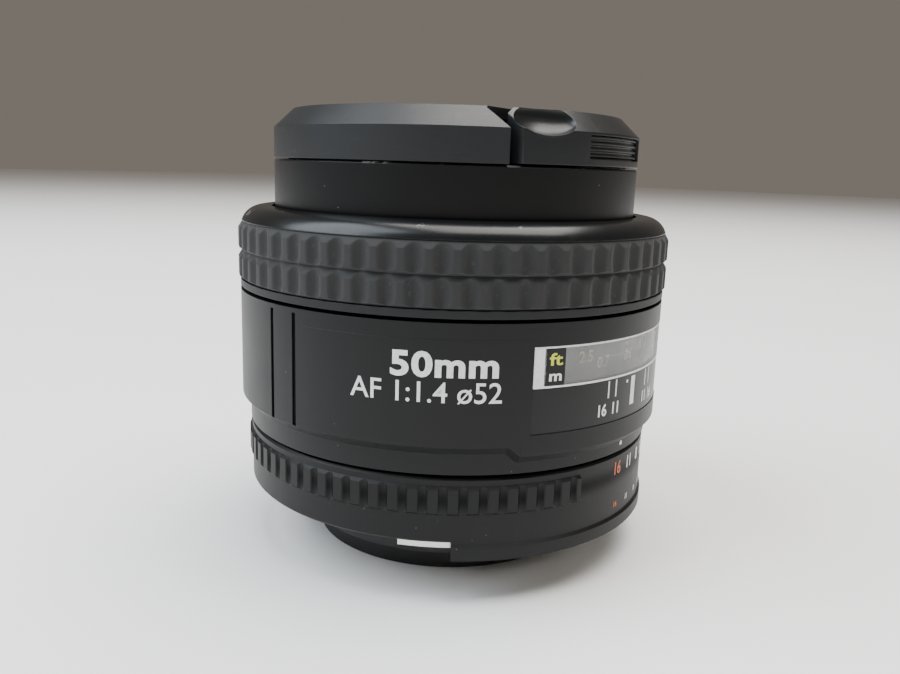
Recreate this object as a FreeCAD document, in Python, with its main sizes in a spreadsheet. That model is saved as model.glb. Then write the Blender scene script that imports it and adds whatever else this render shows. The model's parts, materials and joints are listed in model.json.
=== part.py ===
import FreeCAD, Part
import math
import os
import Sketcher

# A 50 mm autofocus prime lens for a 35 mm camera, standing on its rear end with its
# front cap on, focused close. Z runs up the optical axis from the rear baffle's end,
# and the focus and aperture index marks face -Y. Lengths are millimetres, angles are
# degrees, and azimuths are measured from -Y towards +X.

SIZES = [
    # rear mount
    ("flange_plane", 7.5, "seat of the mount above the rear end"),
    ("flange_depth", 1.5, "thickness of the mount flange"),
    ("flange_radius", 29.4, "outside of the mount flange"),
    ("flange_cut_radius", 27.5, "flange radius where it is relieved"),
    ("flange_cut_start", -150, "azimuth where the relief starts"),
    ("flange_cut_sweep", 87, "angle of the relief"),
    ("seat_inner", 23.9, "inner edge of the seat"),
    ("seat_relief", 0.3, "depth of the undercut inside the seat"),
    ("tube_radius", 21.8, "outside of the bayonet tube"),
    ("tube_bore", 20.6, "bore of the bayonet tube"),
    ("tube_length", 4.5, "bayonet tube behind the seat"),
    ("lug_radius", 23.5, "outside of the bayonet lugs"),
    ("lug_depth", 1.4, "thickness of the lugs"),
    ("lug_sweep", 52, "angle of each lug"),
    ("lug_start", 75, "azimuth of the first lug"),
    ("lug_count", 3, "lugs round the tube"),
    ("baffle_radius", 20.2, "outside of the rear baffle's foot"),
    ("baffle_bore", 17.4, "opening of the rear baffle"),
    ("baffle_floor", 2.4, "thickness of the baffle's foot"),
    ("baffle_wall", 0.8, "wall of the baffle inside the tube"),
    ("baffle_inset", 0.4, "drop of the baffle below the flange top"),
    ("slot_inner", 18.0, "inner edge of the lever slot"),
    ("slot_width", 1.7, "radial width of the lever slot"),
    ("slot_start", 100, "azimuth where the lever slot starts"),
    ("slot_sweep", 42, "angle of the lever slot"),
    ("contact_count", 5, "electrical contacts"),
    ("contact_place", 18.75, "radius of the contacts"),
    ("contact_radius", 0.45, "radius of a contact pin"),
    ("contact_pitch", 8, "angle between contacts"),
    ("contact_start", 209, "azimuth of the first contact"),
    ("contact_recess", 0.3, "contact tip above the rear end"),
    ("contact_gap", 0.15, "clearance round a contact pin"),
    ("block_start", 203, "azimuth where the contact block starts"),
    ("block_sweep", 44, "angle of the contact block"),
    ("block_inner", 17.7, "inner side of the contact block"),
    ("block_width", 1.9, "radial width of the contact block"),
    ("block_depth", 2.6, "height of the contact block"),
    # screws
    ("screw_count", 3, "screws through the flange"),
    ("screw_start", 30, "azimuth of the first screw"),
    ("screw_place", 26.7, "radius of the screws"),
    ("screw_radius", 0.8, "shank of a flange screw"),
    ("screw_head", 1.6, "radius of a screw head"),
    ("head_depth", 0.8, "height of a screw head"),
    ("screw_sink", 0.1, "head below the seat"),
    ("screw_length", 5, "length of a screw shank"),
    ("screw_gap", 0.05, "clearance round a screw in the flange"),
    # chassis and guide tube
    ("chassis_bore", 21.0, "opening of the chassis"),
    ("chassis_floor", 2.5, "thickness of the chassis floor"),
    ("drum_radius", 28.2, "outside of the chassis drum"),
    ("shelf_height", 19.0, "underside of the chassis shelf"),
    ("shelf_depth", 2.0, "thickness of the chassis shelf"),
    ("shelf_radius", 29.6, "outside of the chassis shelf"),
    ("guide_radius", 25.6, "outside of the guide tube"),
    ("guide_wall", 1.0, "wall of the guide tube"),
    ("guide_top", 35.5, "top of the guide tube"),
    ("key_depth", 1.3, "key standing in from the guide tube"),
    ("key_sweep", 7, "angle of a guide key"),
    ("key_low", 14, "foot of a guide key"),
    ("key_length", 19, "length of a guide key"),
    ("key_gap", 0.15, "radial clearance of a key in its slot"),
    ("key_side_gap", 0.35, "angular clearance of a key in its slot"),
    ("key_azimuth", 90, "azimuth of the first guide key"),
    ("detent_height", 14, "height of the click ball"),
    ("detent_radius", 0.8, "radius of the click ball"),
    ("detent_azimuth", 190, "azimuth of the click ball"),
    ("detent_groove", 2.2, "width of the click ball's groove"),
    ("detent_reach", 27.25, "radius of the click ball's centre"),
    ("detent_floor", 26.4, "floor of the click ball's groove"),
    ("spring_offset", 4, "angle between the click ball and its spring"),
    ("spring_wall", 0.25, "wall of the click spring"),
    ("spring_height", 0.5, "click spring beside the ball"),
    # fixed casing
    ("casing_radius", 32.0, "outside of the casing"),
    ("casing_bore", 30.4, "inside of the casing"),
    ("casing_top", 37.45, "upper edge of the casing"),
    ("bevel_top", 21.9, "upper edge of the lower bevel"),
    ("bevel_depth", 1.2, "height of the lower bevel"),
    ("bevel_drop", 1.3, "bevel lower round the window"),
    ("bevel_reach", 34.6, "half angle of the lower bevel"),
    ("collar_radius", 30.8, "outside of the index collar"),
    ("collar_bottom", 17.95, "lower edge of the index collar"),
    ("seam_azimuth", -98.9, "azimuth of the first casing seam"),
    ("seam_step", 8.4, "angle between the casing seams"),
    ("seam_sweep", 1.2, "angle of a casing seam"),
    ("seam_depth", 0.35, "depth of a casing seam"),
    ("seam_margin", 0.6, "plain edge above a casing seam"),
    ("window_reach", 32.5, "half angle of the window"),
    ("window_top", 34.5, "upper edge of the distance window"),
    ("window_bottom", 29.2, "lower edge of the distance window"),
    ("panel_bottom", 23.3, "lower edge of the scale panel"),
    ("panel_seat", 31.2, "radius on which the panel lies"),
    ("panel_inset", 0.1, "panel face below the casing face"),
    # focus ring
    ("focus_gap", 0.5, "gap between casing and focus ring"),
    ("focus_skirt", 1.0, "height of the ring's lower lip"),
    ("focus_radius", 32.0, "outside of the ring's lower lip"),
    ("grip_seat", 30.6, "radius that carries the rubber"),
    ("grip_radius", 32.25, "outside of the rubber"),
    ("grip_top", 47.2, "upper end of the rubber seat"),
    ("grip_play", 0.05, "end clearance of the rubber"),
    ("grip_edge", 0.5, "height of the rubber's edge slope"),
    ("grip_edge_drop", 0.25, "depth of the rubber's edge slope"),
    ("grip_valley", 0.6, "depth of the groove between the rows"),
    ("shoulder_radius", 31.75, "outside of the ring's shoulder"),
    ("shoulder_round_radius", 30.6, "radius of the shoulder's middle point"),
    ("shoulder_round_drop", 0.55, "shoulder's middle point below its top"),
    ("shoulder_inner", 28.7, "where the shoulder meets the front face"),
    ("focus_top", 49.3, "front face of the focus ring"),
    ("focus_bore", 27.4, "front opening of the focus ring"),
    ("focus_lip", 3.8, "height of the front lip inside"),
    ("sleeve_radius", 29.0, "outside of the focus sleeve"),
    ("sleeve_wall", 0.9, "wall of the focus sleeve"),
    ("sleeve_bottom", 23.8, "lower end of the focus sleeve"),
    ("helix_gap", 0.3, "clearance between helicoid and guide tube"),
    ("helix_top", 33.5, "upper end of the helicoid ring"),
    ("drum_depth", 0.5, "thickness of the distance scale"),
    ("drum_low", 27.0, "lower edge of the distance scale"),
    ("drum_top", 36.6, "upper edge of the distance scale"),
    ("gear_bore", 28.5, "inside of the focus gear"),
    ("gear_wall", 0.8, "wall of the focus gear"),
    ("gear_depth", 2.4, "height of the focus gear"),
    # autofocus drive shaft
    ("shaft_place", 27.1, "radius of the shaft's axis"),
    ("shaft_azimuth", 245, "azimuth of the shaft"),
    ("shaft_radius", 0.8, "radius of the shaft"),
    ("shaft_gap", 0.05, "running clearance of the shaft"),
    ("coupler_radius", 1.3, "radius of the shaft's coupling head"),
    ("coupler_sink", 0.2, "coupling head inside the seat"),
    ("coupler_slot", 0.6, "width of the coupling slot"),
    ("coupler_slot_depth", 0.7, "depth of the coupling slot"),
    ("pinion_radius", 1.1, "radius of the pinion"),
    ("pinion_lift", 0.35, "pinion above the chassis shelf"),
    ("pinion_depth", 1.7, "height of the pinion"),
    # aperture ring
    ("ring_bottom", 8.7, "lower edge of the aperture ring"),
    ("ring_top", 17.45, "upper edge of the aperture ring"),
    ("ring_radius", 30.65, "outside of the plain part"),
    ("ring_bore", 28.6, "inside of the aperture ring"),
    ("ring_step_radius", 29.8, "inside of the ring round the flange"),
    ("ring_step", 0.8, "height of the step round the flange"),
    ("ring_chamfer", 0.3, "edge chamfer of the aperture ring"),
    ("rib_radius", 31.05, "outside of the ribbed part"),
    ("rib_bottom", 12.5, "lower end of the ribs"),
    ("rib_length", 3.9, "length of the ribs"),
    ("rib_slope", 0.4, "slope at the ends of the ribs"),
    ("rib_start", 58, "azimuth where the ribs start"),
    ("rib_sweep", 286, "angle covered by the ribs"),
    ("rib_count", 60, "grooves between the ribs"),
    ("rib_groove_radius", 0.75, "radius of a groove between ribs"),
    ("rib_groove_place", 31.45, "radius of the groove centres"),
    ("ridge_radius", 31.0, "outside of the coupling ridge"),
    ("ridge_inner", 29.9, "inside of the coupling ridge"),
    ("ridge_drop", 2.3, "coupling ridge below the ring"),
    ("ridge_ledge", 0.6, "ledge of the coupling ridge below the ring"),
    ("ridge_slope", 0.35, "slope above the ledge"),
    ("ridge_start", -49.5, "azimuth where the coupling ridge starts"),
    ("ridge_sweep", 100, "angle of the coupling ridge"),
    ("lock_start", 50.2, "azimuth where the lock's recess starts"),
    ("lock_sweep", 7.0, "angle of the lock's recess"),
    ("lock_bottom", 9.8, "lower edge of the lock's recess"),
    ("lock_height", 2.4, "height of the lock's recess"),
    ("lock_floor", 29.95, "floor of the lock's recess"),
    ("lock_knob_sweep", 3.0, "angle of the lock slider"),
    ("lock_play", 0.4, "angle between the lock and the end of its recess"),
    ("lock_knob_radius", 31.2, "outside of the lock slider"),
    ("lock_gap", 0.1, "clearance round the lock slider"),
    # stop-down lever
    ("lever_radius", 24.2, "outside of the lever's ring"),
    ("lever_bore", 21.4, "inside of the lever's ring"),
    ("lever_depth", 0.8, "thickness of the lever's ring"),
    ("lever_lift", 0.2, "lever's ring above the chassis floor"),
    ("lever_tab_inner", 18.3, "inner side of the lever's tab"),
    ("lever_tab_wall", 1.0, "thickness of the lever's tab"),
    ("lever_tab_sweep", 7, "angle of the lever's tab"),
    ("lever_tab_end", 1.4, "lever's tab above the rear end"),
    ("lever_azimuth", 128, "azimuth where the lever's tab starts"),
    # lens unit
    ("rim_top", 56.0, "front rim of the filter barrel"),
    ("barrel_radius", 26.95, "outside of the filter barrel"),
    ("thread_radius", 25.6, "filter thread"),
    ("thread_depth", 4.1, "depth of the filter thread"),
    ("barrel_bore", 26.1, "bore of the barrel behind the thread"),
    ("barrel_bottom", 40.0, "lower end of the filter barrel"),
    ("rim_chamfer", 0.3, "chamfer of the barrel's rim"),
    ("carrier_radius", 24.2, "outside of the lens carrier"),
    ("carrier_bore", 22.0, "bore of the lens carrier"),
    ("carrier_bottom", 24.0, "lower end of the lens carrier"),
    ("web_bottom", 43.5, "underside of the carrier's web"),
    ("web_depth", 3.0, "thickness of the carrier's web"),
    ("cell_flange_radius", 24.6, "flange of the front cell"),
    ("cell_flange_depth", 1.5, "thickness of the front cell's flange"),
    ("trim_inner_height", 48.6, "front trim at its opening"),
    ("trim_outer_height", 51.6, "front trim at its outer edge"),
    ("trim_slope_radius", 25.2, "where the trim's slope starts"),
    ("iris_floor", 28.9, "underside of the iris housing"),
    ("iris_depth", 3.5, "height of the iris housing"),
    ("iris_plate", 0.7, "thickness of the housing's plates"),
    ("iris_bore", 20.9, "bore of the iris housing"),
    ("iris_opening", 10.9, "opening of the iris housing"),
    ("actuator_radius", 20.6, "outside of the iris drive ring"),
    ("actuator_bore", 18.2, "inside of the iris drive ring"),
    ("actuator_depth", 0.6, "thickness of the iris drive ring"),
    ("actuator_lift", 0.15, "drive ring above the housing's floor"),
    ("blade_count", 7, "iris blades"),
    ("blade_inner", 11.1, "inner edge of a blade"),
    ("blade_outer", 16.0, "outer edge of a blade"),
    ("blade_reach", 118, "angle covered by a blade"),
    ("blade_depth", 0.07, "thickness of a blade"),
    ("blade_pitch", 0.15, "height from one blade to the next"),
    ("blade_lift", 0.15, "first blade above the drive ring"),
    ("blade_closed", 32, "swing of a blade from full open to f/16"),
    ("pivot_place", 17.2, "radius of the blade pivots"),
    ("pivot_radius", 0.4, "radius of a blade pin"),
    ("pivot_gap", 0.05, "running clearance of a blade pin"),
    ("tail_radius", 0.9, "half width of a blade's tail"),
    ("tail_length", 2.2, "pivot to drive pin"),
    ("slot_gap", 0.12, "clearance of a drive pin in its slot"),
    ("slot_before", 0.7, "drive pin slot inside the open pin place"),
    ("slot_after", 0.15, "drive pin slot outside the open pin place"),
    ("rear_cell_flange", 2.5, "thickness of the rear cell's flange"),
    ("rear_cell_radius", 16.6, "outside of the rear cell"),
    ("rear_cell_bottom", 8.2, "lower end of the rear cell"),
    ("seat_ledge", 0.8, "ledge under a lens element"),
    ("third_seat_ledge", 2.0, "ledge under the third element"),
    # lens elements
    ("first_edge", 18.6, "edge radius of element 1"),
    ("first_clear", 17.8, "clear radius of element 1"),
    ("first_front", 47.4, "front rim of element 1"),
    ("first_rear", 44.8, "rear rim of element 1"),
    ("first_front_sag", 4.2, "front bulge of element 1"),
    ("first_rear_sag", 1.2, "rear hollow of element 1"),
    ("second_edge", 16.4, "edge radius of element 2"),
    ("second_clear", 15.6, "clear radius of element 2"),
    ("second_front", 40.4, "front rim of element 2"),
    ("second_rear", 38.2, "rear rim of element 2"),
    ("second_front_sag", 4.9, "front bulge of element 2"),
    ("second_rear_sag", 2.2, "rear hollow of element 2"),
    ("third_edge", 14.6, "edge radius of element 3"),
    ("third_clear", 13.8, "clear radius of element 3, front"),
    ("third_rear_clear", 11.2, "clear radius of element 3, rear"),
    ("third_front", 37.6, "front rim of element 3"),
    ("third_rear", 33.1, "rear rim of element 3"),
    ("third_front_sag", 1.3, "front bulge of element 3"),
    ("third_rear_sag", 4.2, "rear hollow of element 3"),
    ("doublet_edge", 14.4, "edge radius of the cemented pair"),
    ("doublet_front_clear", 11.2, "clear radius of the pair, front"),
    ("doublet_rear_clear", 13.5, "clear radius of the pair, rear"),
    ("doublet_front_sag", 4.2, "front hollow of the pair"),
    ("doublet_waist", 1.2, "middle thickness of element 4"),
    ("doublet_joint_sag", 1.15, "bulge of the cemented surface"),
    ("doublet_rear", 20.5, "rear rim of the pair"),
    ("doublet_rear_sag", 3.78, "rear bulge of the pair"),
    ("rear_edge", 14.8, "edge radius of elements 6 and 7"),
    ("rear_clear", 14.0, "clear radius of elements 6 and 7"),
    ("sixth_front", 17.5, "front rim of element 6"),
    ("sixth_rear", 15.6, "rear rim of element 6"),
    ("sixth_front_sag", 1.2, "front hollow of element 6"),
    ("sixth_rear_sag", 2.9, "rear bulge of element 6"),
    ("seventh_front", 11.2, "front rim of element 7"),
    ("seventh_rear", 9.8, "rear rim of element 7"),
    ("seventh_front_sag", 1.1, "front bulge of element 7"),
    ("seventh_rear_sag", 1.1, "rear bulge of element 7"),
    ("ring_notch_sweep", 12, "angle of a spanner notch"),
    ("ring_notch_wall", 0.3, "wall left outside a retaining ring notch"),
    ("ring_notch_depth", 0.6, "depth of a spanner notch"),
    # front cap
    ("cap_gap", 0.12, "gap between barrel rim and cap"),
    ("cap_radius", 27.0, "outside of the cap"),
    ("cap_wall_height", 4.3, "straight side of the cap"),
    ("cap_chamfer_height", 2.6, "height of the cap's chamfer"),
    ("cap_top_radius", 24.3, "flat front of the cap"),
    ("cap_top_depth", 1.4, "thickness of the cap's front"),
    ("plug_radius", 25.0, "outside of the cap's plug"),
    ("plug_wall", 1.4, "wall of the cap's plug"),
    ("plug_drop", 2.3, "plug below the cap's edge"),
    ("boss_radius", 3.0, "middle boss of the cap"),
    ("plate_depth", 1.0, "thickness of the cap's inner plate"),
    ("clip_chord", 18.6, "inner edge of a clip"),
    ("clip_travel", 1.6, "inward travel of a clip"),
    ("clip_clear", 0.6, "clearance behind a clip"),
    ("clip_side_clear", 1.3, "clearance beside a clip"),
    ("clip_half_width", 16.9, "half width of a clip"),
    ("clip_base_gap", 0.1, "clip above the cap's lower edge"),
    ("press_radius", 26.3, "radius of the recessed press face"),
    ("press_low", 0.9, "foot of the press face above the clip's edge"),
    ("press_height", 3.0, "height of the press face"),
    ("press_sweep", 34, "angle of the press face"),
    ("tooth_radius", 25.3, "outside of a clip's teeth"),
    ("tooth_sweep", 36, "angle of a clip's teeth"),
    ("tooth_bottom", 2.0, "teeth below the cap's edge"),
    ("tooth_height", 1.2, "height of the teeth"),
    ("tooth_wall", 1.3, "wall that carries the teeth"),
    ("tongue_inner", 12.0, "inner end of a clip's tongue"),
    ("tongue_half_width", 5.0, "half width of a clip's tongue"),
    ("tongue_low", 1.2, "tongue above the cap's edge"),
    ("tongue_depth", 2.2, "thickness of a clip's tongue"),
    ("coil_radius", 1.5, "outside of a cap spring"),
    ("coil_wall", 0.5, "wire of a cap spring"),
    ("coil_end_gap", 0.1, "cap spring's clearance at each end"),
    ("cap_azimuth", 5, "azimuth of the first clip"),
]

document = FreeCAD.newDocument("PrimeLens")
sheet = document.addObject("Spreadsheet::Sheet", "Sizes")
for row, (alias, number, note) in enumerate(SIZES, start=1):
    sheet.set(f"A{row}", str(number))
    sheet.setAlias(f"A{row}", alias)
    sheet.set(f"B{row}", note)
document.recompute()


class Size:
    """A size as the text of an expression together with its present value."""

    def __init__(self, text, value):
        self.text = text
        self.value = value

    def __add__(self, other):
        other = sized(other)
        return Size(f"({self.text} + {other.text})", self.value + other.value)

    def __sub__(self, other):
        other = sized(other)
        return Size(f"({self.text} - {other.text})", self.value - other.value)

    def __mul__(self, other):
        other = sized(other)
        return Size(f"({self.text} * {other.text})", self.value * other.value)

    def __truediv__(self, other):
        other = sized(other)
        return Size(f"({self.text} / {other.text})", self.value / other.value)

    def __neg__(self):
        return Size(f"(0 - {self.text})", -self.value)

    def __radd__(self, other):
        return sized(other) + self

    def __rsub__(self, other):
        return sized(other) - self


class Sizes:
    """The sheet's sizes by name."""

    def __getattr__(self, alias):
        return Size(f"Sizes.{alias}", float(sheet.get(alias)))


def sized(value):
    """A plain number as a Size, and a Size as it is."""
    return value if isinstance(value, Size) else Size(str(value), float(value))


S = Sizes()
PARTS = []
CUTS = []
TURN_ORIGIN = -90  # azimuth 0 is at -Y, a quarter turn before the X axis
BEYOND = 3  # how far a cutting outline reaches past the surface that it cuts
BURIED = 1  # how far an outline starts inside the material or opening beside it


class Bend:
    """A point that an outline's next side passes through as an arc."""

    def __init__(self, across, up):
        self.across = across
        self.up = up


class Dome:
    """Makes an outline's next side an arc centred on the axis, from or to the axis."""


def keep(body):
    """List a finished sub-part."""
    PARTS.append(body)
    return body


def new_body(label):
    """An empty body with its own label."""
    body = document.addObject("PartDesign::Body", label)
    body.Label = label
    return body


def plane_of(body, role):
    """One of the body's own origin planes."""
    return next(item for item in body.Origin.OriginFeatures if item.Role == role)


def sketch_on(body, role, turn=0, lift=0):
    """A sketch on an origin plane, turned about Z and lifted off the plane."""
    sketch = body.newObject("Sketcher::SketchObject", body.Label + "_sketch")
    sketch.AttachmentSupport = (plane_of(body, role), [""])
    sketch.MapMode = "FlatFace"
    turn = sized(turn)
    lift = sized(lift)
    axis = FreeCAD.Vector(0, 0, 1) if role == "XY_Plane" else FreeCAD.Vector(0, 1, 0)
    sketch.AttachmentOffset = FreeCAD.Placement(
        FreeCAD.Vector(0, 0, lift.value), FreeCAD.Rotation(axis, turn.value)
    )
    if turn.value:
        sketch.setExpression("AttachmentOffset.Rotation.Angle", turn.text)
    if lift.value:
        sketch.setExpression("AttachmentOffset.Base.z", lift.text)
    return sketch


def pin_point(sketch, edge, end, across, up):
    """Hold an edge's end at its two coordinates."""
    for kind, value in (("DistanceX", across), ("DistanceY", up)):
        value = sized(value)
        if value.value < 0:
            value = -value
            ends = (edge, end, -1, 1)
        else:
            ends = (-1, 1, edge, end)
        index = sketch.addConstraint(Sketcher.Constraint(kind, *ends, value.value))
        sketch.setExpression(f"Constraints[{index}]", value.text)


def point_at(across, up):
    """A vector in the sketch's plane."""
    return FreeCAD.Vector(sized(across).value, sized(up).value, 0)


def dome_middle(first, last):
    """A point halfway along a spherical surface's arc, whose centre is on the axis."""
    pole, rim = (first, last) if first.x < last.x else (last, first)
    sag = pole.y - rim.y
    radius = (rim.x * rim.x + sag * sag) / (2 * abs(sag))
    side = 1 if sag > 0 else -1
    across = rim.x / 2
    rise = (radius * radius - across * across) ** 0.5
    return FreeCAD.Vector(across, pole.y + side * (rise - radius), 0)


def draw_outline(sketch, outline):
    """Draw a closed outline of corners; a Bend or a Dome before a corner makes that side an arc."""
    corners = []
    bends = {}
    for item in outline:
        if isinstance(item, (Bend, Dome)):
            bends[len(corners) - 1] = item
        else:
            corners.append(item)
    count = len(corners)
    edges = []
    for index, start in enumerate(corners):
        first = point_at(*start)
        last = point_at(*corners[(index + 1) % count])
        if index in bends:
            bend = bends[index]
            middle = (
                dome_middle(first, last) if isinstance(bend, Dome)
                else point_at(bend.across, bend.up)
            )
            edges.append((sketch.addGeometry(Part.Arc(first, middle, last), False), first))
        else:
            edges.append((sketch.addGeometry(Part.LineSegment(first, last), False), first))
    ends = []
    for edge, first in edges:
        begins = sketch.getPoint(edge, 1).distanceToPoint(first) < 1e-6
        ends.append((1, 2) if begins else (2, 1))
    for index in range(count):
        following = (index + 1) % count
        sketch.addConstraint(
            Sketcher.Constraint(
                "Coincident", edges[index][0], ends[index][1], edges[following][0], ends[following][0]
            )
        )
        pin_point(sketch, edges[index][0], ends[index][0], *corners[index])
        bend = bends.get(index)
        if isinstance(bend, Dome):
            sketch.addConstraint(Sketcher.Constraint("PointOnObject", edges[index][0], 3, -2))
        elif bend:
            mark = sketch.addGeometry(Part.Point(point_at(bend.across, bend.up)), True)
            pin_point(sketch, mark, 1, bend.across, bend.up)
            sketch.addConstraint(Sketcher.Constraint("PointOnObject", mark, 1, edges[index][0]))


def bind(thing, name, value):
    """Tie a property to the expression of a size."""
    thing.setExpression(name, sized(value).text)


def spin(body, kind, outline, start, sweep):
    """Add or cut a turned shape, from an azimuth and through an angle, or all the way round."""
    turned = sized(0) if sweep is None else sized(start) + TURN_ORIGIN
    sketch = sketch_on(body, "XZ_Plane", turn=turned)
    draw_outline(sketch, outline)
    feature = body.newObject(f"PartDesign::{kind}", f"{body.Label}_{kind}")
    feature.Profile = sketch
    feature.ReferenceAxis = (sketch, ["V_Axis"])
    if sweep is None:
        feature.Angle = 360
    else:
        feature.Angle = sized(sweep).value
        bind(feature, "Angle", sweep)
    sketch.Visibility = False
    if kind == "Groove":
        CUTS.append((body, feature))
    return feature


def turned_body(label, outline, start=0, sweep=None):
    """A body turned about Z, whole or through an angle."""
    body = new_body(label)
    spin(body, "Revolution", outline, start, sweep)
    return keep(body)


def turned_cut(body, outline, start=0, sweep=None):
    """Cut a turned groove out of a body."""
    return spin(body, "Groove", outline, start, sweep)


def turned_add(body, outline, start=0, sweep=None):
    """Add a turned sector to a body."""
    return spin(body, "Revolution", outline, start, sweep)


def block(inner, outer, low, high):
    """The outline of a plain rectangular section."""
    return [(inner, low), (outer, low), (outer, high), (inner, high)]


def sink(body, place, azimuth, radius, top, depth):
    """Drill a round hole down from a height, beside the axis."""
    sketch = sketch_on(body, "XY_Plane", turn=sized(azimuth) + TURN_ORIGIN, lift=top)
    circle = Part.Circle(point_at(place, 0), FreeCAD.Vector(0, 0, 1), sized(radius).value)
    sketch.addGeometry(circle, False)
    sketch.addConstraint(Sketcher.Constraint("PointOnObject", 0, 3, -1))
    across = sketch.addConstraint(
        Sketcher.Constraint("DistanceX", -1, 1, 0, 3, sized(place).value)
    )
    bind(sketch, f"Constraints[{across}]", place)
    size = sketch.addConstraint(Sketcher.Constraint("Radius", 0, sized(radius).value))
    bind(sketch, f"Constraints[{size}]", radius)
    return pocket(body, sketch, depth)


def pocket(body, sketch, depth):
    """Cut a sketch downward by a depth."""
    feature = body.newObject("PartDesign::Pocket", f"{body.Label}_pocket")
    feature.Profile = sketch
    feature.Length = sized(depth).value
    bind(feature, "Length", depth)
    CUTS.append((body, feature))
    return feature


def pad(body, sketch, depth):
    """Raise a sketch upward by a height."""
    feature = body.newObject("PartDesign::Pad", f"{body.Label}_pad")
    feature.Profile = sketch
    feature.Length = sized(depth).value
    bind(feature, "Length", depth)
    return feature


def ring_of(body, feature, count, sweep=360):
    """Repeat a feature round the axis."""
    pattern = body.newObject("PartDesign::PolarPattern", f"{body.Label}_pattern")
    pattern.Originals = [feature]
    axis = "N_Axis" if feature.isDerivedFrom("PartDesign::Pocket") else "V_Axis"
    pattern.Axis = (feature.Profile[0], [axis])
    pattern.Angle = sized(sweep).value
    bind(pattern, "Occurrences", count)
    if isinstance(sweep, Size):
        bind(pattern, "Angle", sweep)
    body.Tip = pattern
    return pattern


def place_at(thing, radius, azimuth, height, spin_by=0):
    """Set a piece down at a radius, azimuth and height, turned about Z."""
    direction = sized(azimuth).value + TURN_ORIGIN
    turn = FreeCAD.Rotation(FreeCAD.Vector(0, 0, 1), direction)
    offset = turn.multVec(FreeCAD.Vector(sized(radius).value, 0, 0))
    offset.z = sized(height).value
    total = FreeCAD.Rotation(FreeCAD.Vector(0, 0, 1), direction + sized(spin_by).value)
    thing.Placement = FreeCAD.Placement(offset, total)


def whole(size):
    """A count from the sheet as a whole number."""
    return int(round(size.value))


def sine(angle):
    """Sine of an angle size."""
    return Size(f"sin({angle.text})", math.sin(math.radians(angle.value)))


def cosine(angle):
    """Cosine of an angle size."""
    return Size(f"cos({angle.text})", math.cos(math.radians(angle.value)))


# Heights and radii that several sub-parts share.
FLANGE_TOP = S.flange_plane + S.flange_depth
TUBE_END = S.flange_plane - S.tube_length
CHASSIS_FLOOR_TOP = FLANGE_TOP + S.chassis_floor
SHELF_TOP = S.shelf_height + S.shelf_depth
GUIDE_BORE = S.guide_radius - S.guide_wall
RING_STEP_TOP = S.ring_bottom + S.ring_step
FOCUS_BOTTOM = S.casing_top + S.focus_gap
GRIP_BOTTOM = FOCUS_BOTTOM + S.focus_skirt
LIP_BOTTOM = S.focus_top - S.focus_lip
WEB_TOP = S.web_bottom + S.web_depth
CELL_TOP = WEB_TOP + S.cell_flange_depth
THREAD_END = S.rim_top - S.thread_depth
IRIS_TOP = S.iris_floor + S.iris_depth
ACTUATOR_LOW = S.iris_floor + S.iris_plate + S.actuator_lift
ACTUATOR_TOP = ACTUATOR_LOW + S.actuator_depth
CAP_BASE = S.rim_top + S.cap_gap
CAP_SIDE_TOP = CAP_BASE + S.cap_wall_height
CAP_TOP = CAP_SIDE_TOP + S.cap_chamfer_height
CAP_ROOF = CAP_TOP - S.cap_top_depth
PLUG_BORE = S.plug_radius - S.plug_wall
PLATE_LOW = CAP_BASE - S.plug_drop
PLATE_TOP = PLATE_LOW + S.plate_depth


def bayonet_mount():
    """Metal flange with its seat, tube, lugs and holes."""
    relief = S.flange_plane + S.seat_relief
    body = turned_body("bayonet_mount", [
        (S.tube_bore, TUBE_END), (S.tube_radius, TUBE_END), (S.tube_radius, relief),
        (S.seat_inner, relief), (S.seat_inner, S.flange_plane),
        (S.flange_radius, S.flange_plane), (S.flange_radius, FLANGE_TOP),
        (S.tube_bore, FLANGE_TOP),
    ])
    lug = turned_add(
        body, block(S.tube_bore, S.lug_radius, TUBE_END, TUBE_END + S.lug_depth),
        S.lug_start, S.lug_sweep,
    )
    ring_of(body, lug, S.lug_count)
    turned_cut(
        body,
        block(S.flange_cut_radius, S.flange_radius + BEYOND,
              S.flange_plane - BEYOND, FLANGE_TOP + BEYOND),
        S.flange_cut_start, S.flange_cut_sweep,
    )
    through = sink(body, S.screw_place, S.screw_start, S.screw_radius + S.screw_gap,
                   FLANGE_TOP, S.flange_depth)
    ring_of(body, through, S.screw_count)
    sunk = S.screw_sink + S.head_depth
    head = sink(body, S.screw_place, S.screw_start, S.screw_head + S.screw_gap,
                S.flange_plane + sunk, sunk)
    ring_of(body, head, S.screw_count)
    sink(body, S.shaft_place, S.shaft_azimuth, S.coupler_radius + S.shaft_gap,
         FLANGE_TOP, S.flange_depth)


def mount_screws():
    """Cheese-head screws that hold the flange to the chassis."""
    head_low = S.flange_plane + S.screw_sink
    for number in range(whole(S.screw_count)):
        body = turned_body(f"mount_screw_{number + 1}", [
            (0, 0), (S.screw_head, 0), (S.screw_head, S.head_depth),
            (S.screw_radius, S.head_depth), (S.screw_radius, S.head_depth + S.screw_length),
            (0, S.head_depth + S.screw_length),
        ])
        azimuth = S.screw_start.value + 360 * number / whole(S.screw_count)
        place_at(body, S.screw_place, azimuth, head_low)


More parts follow.
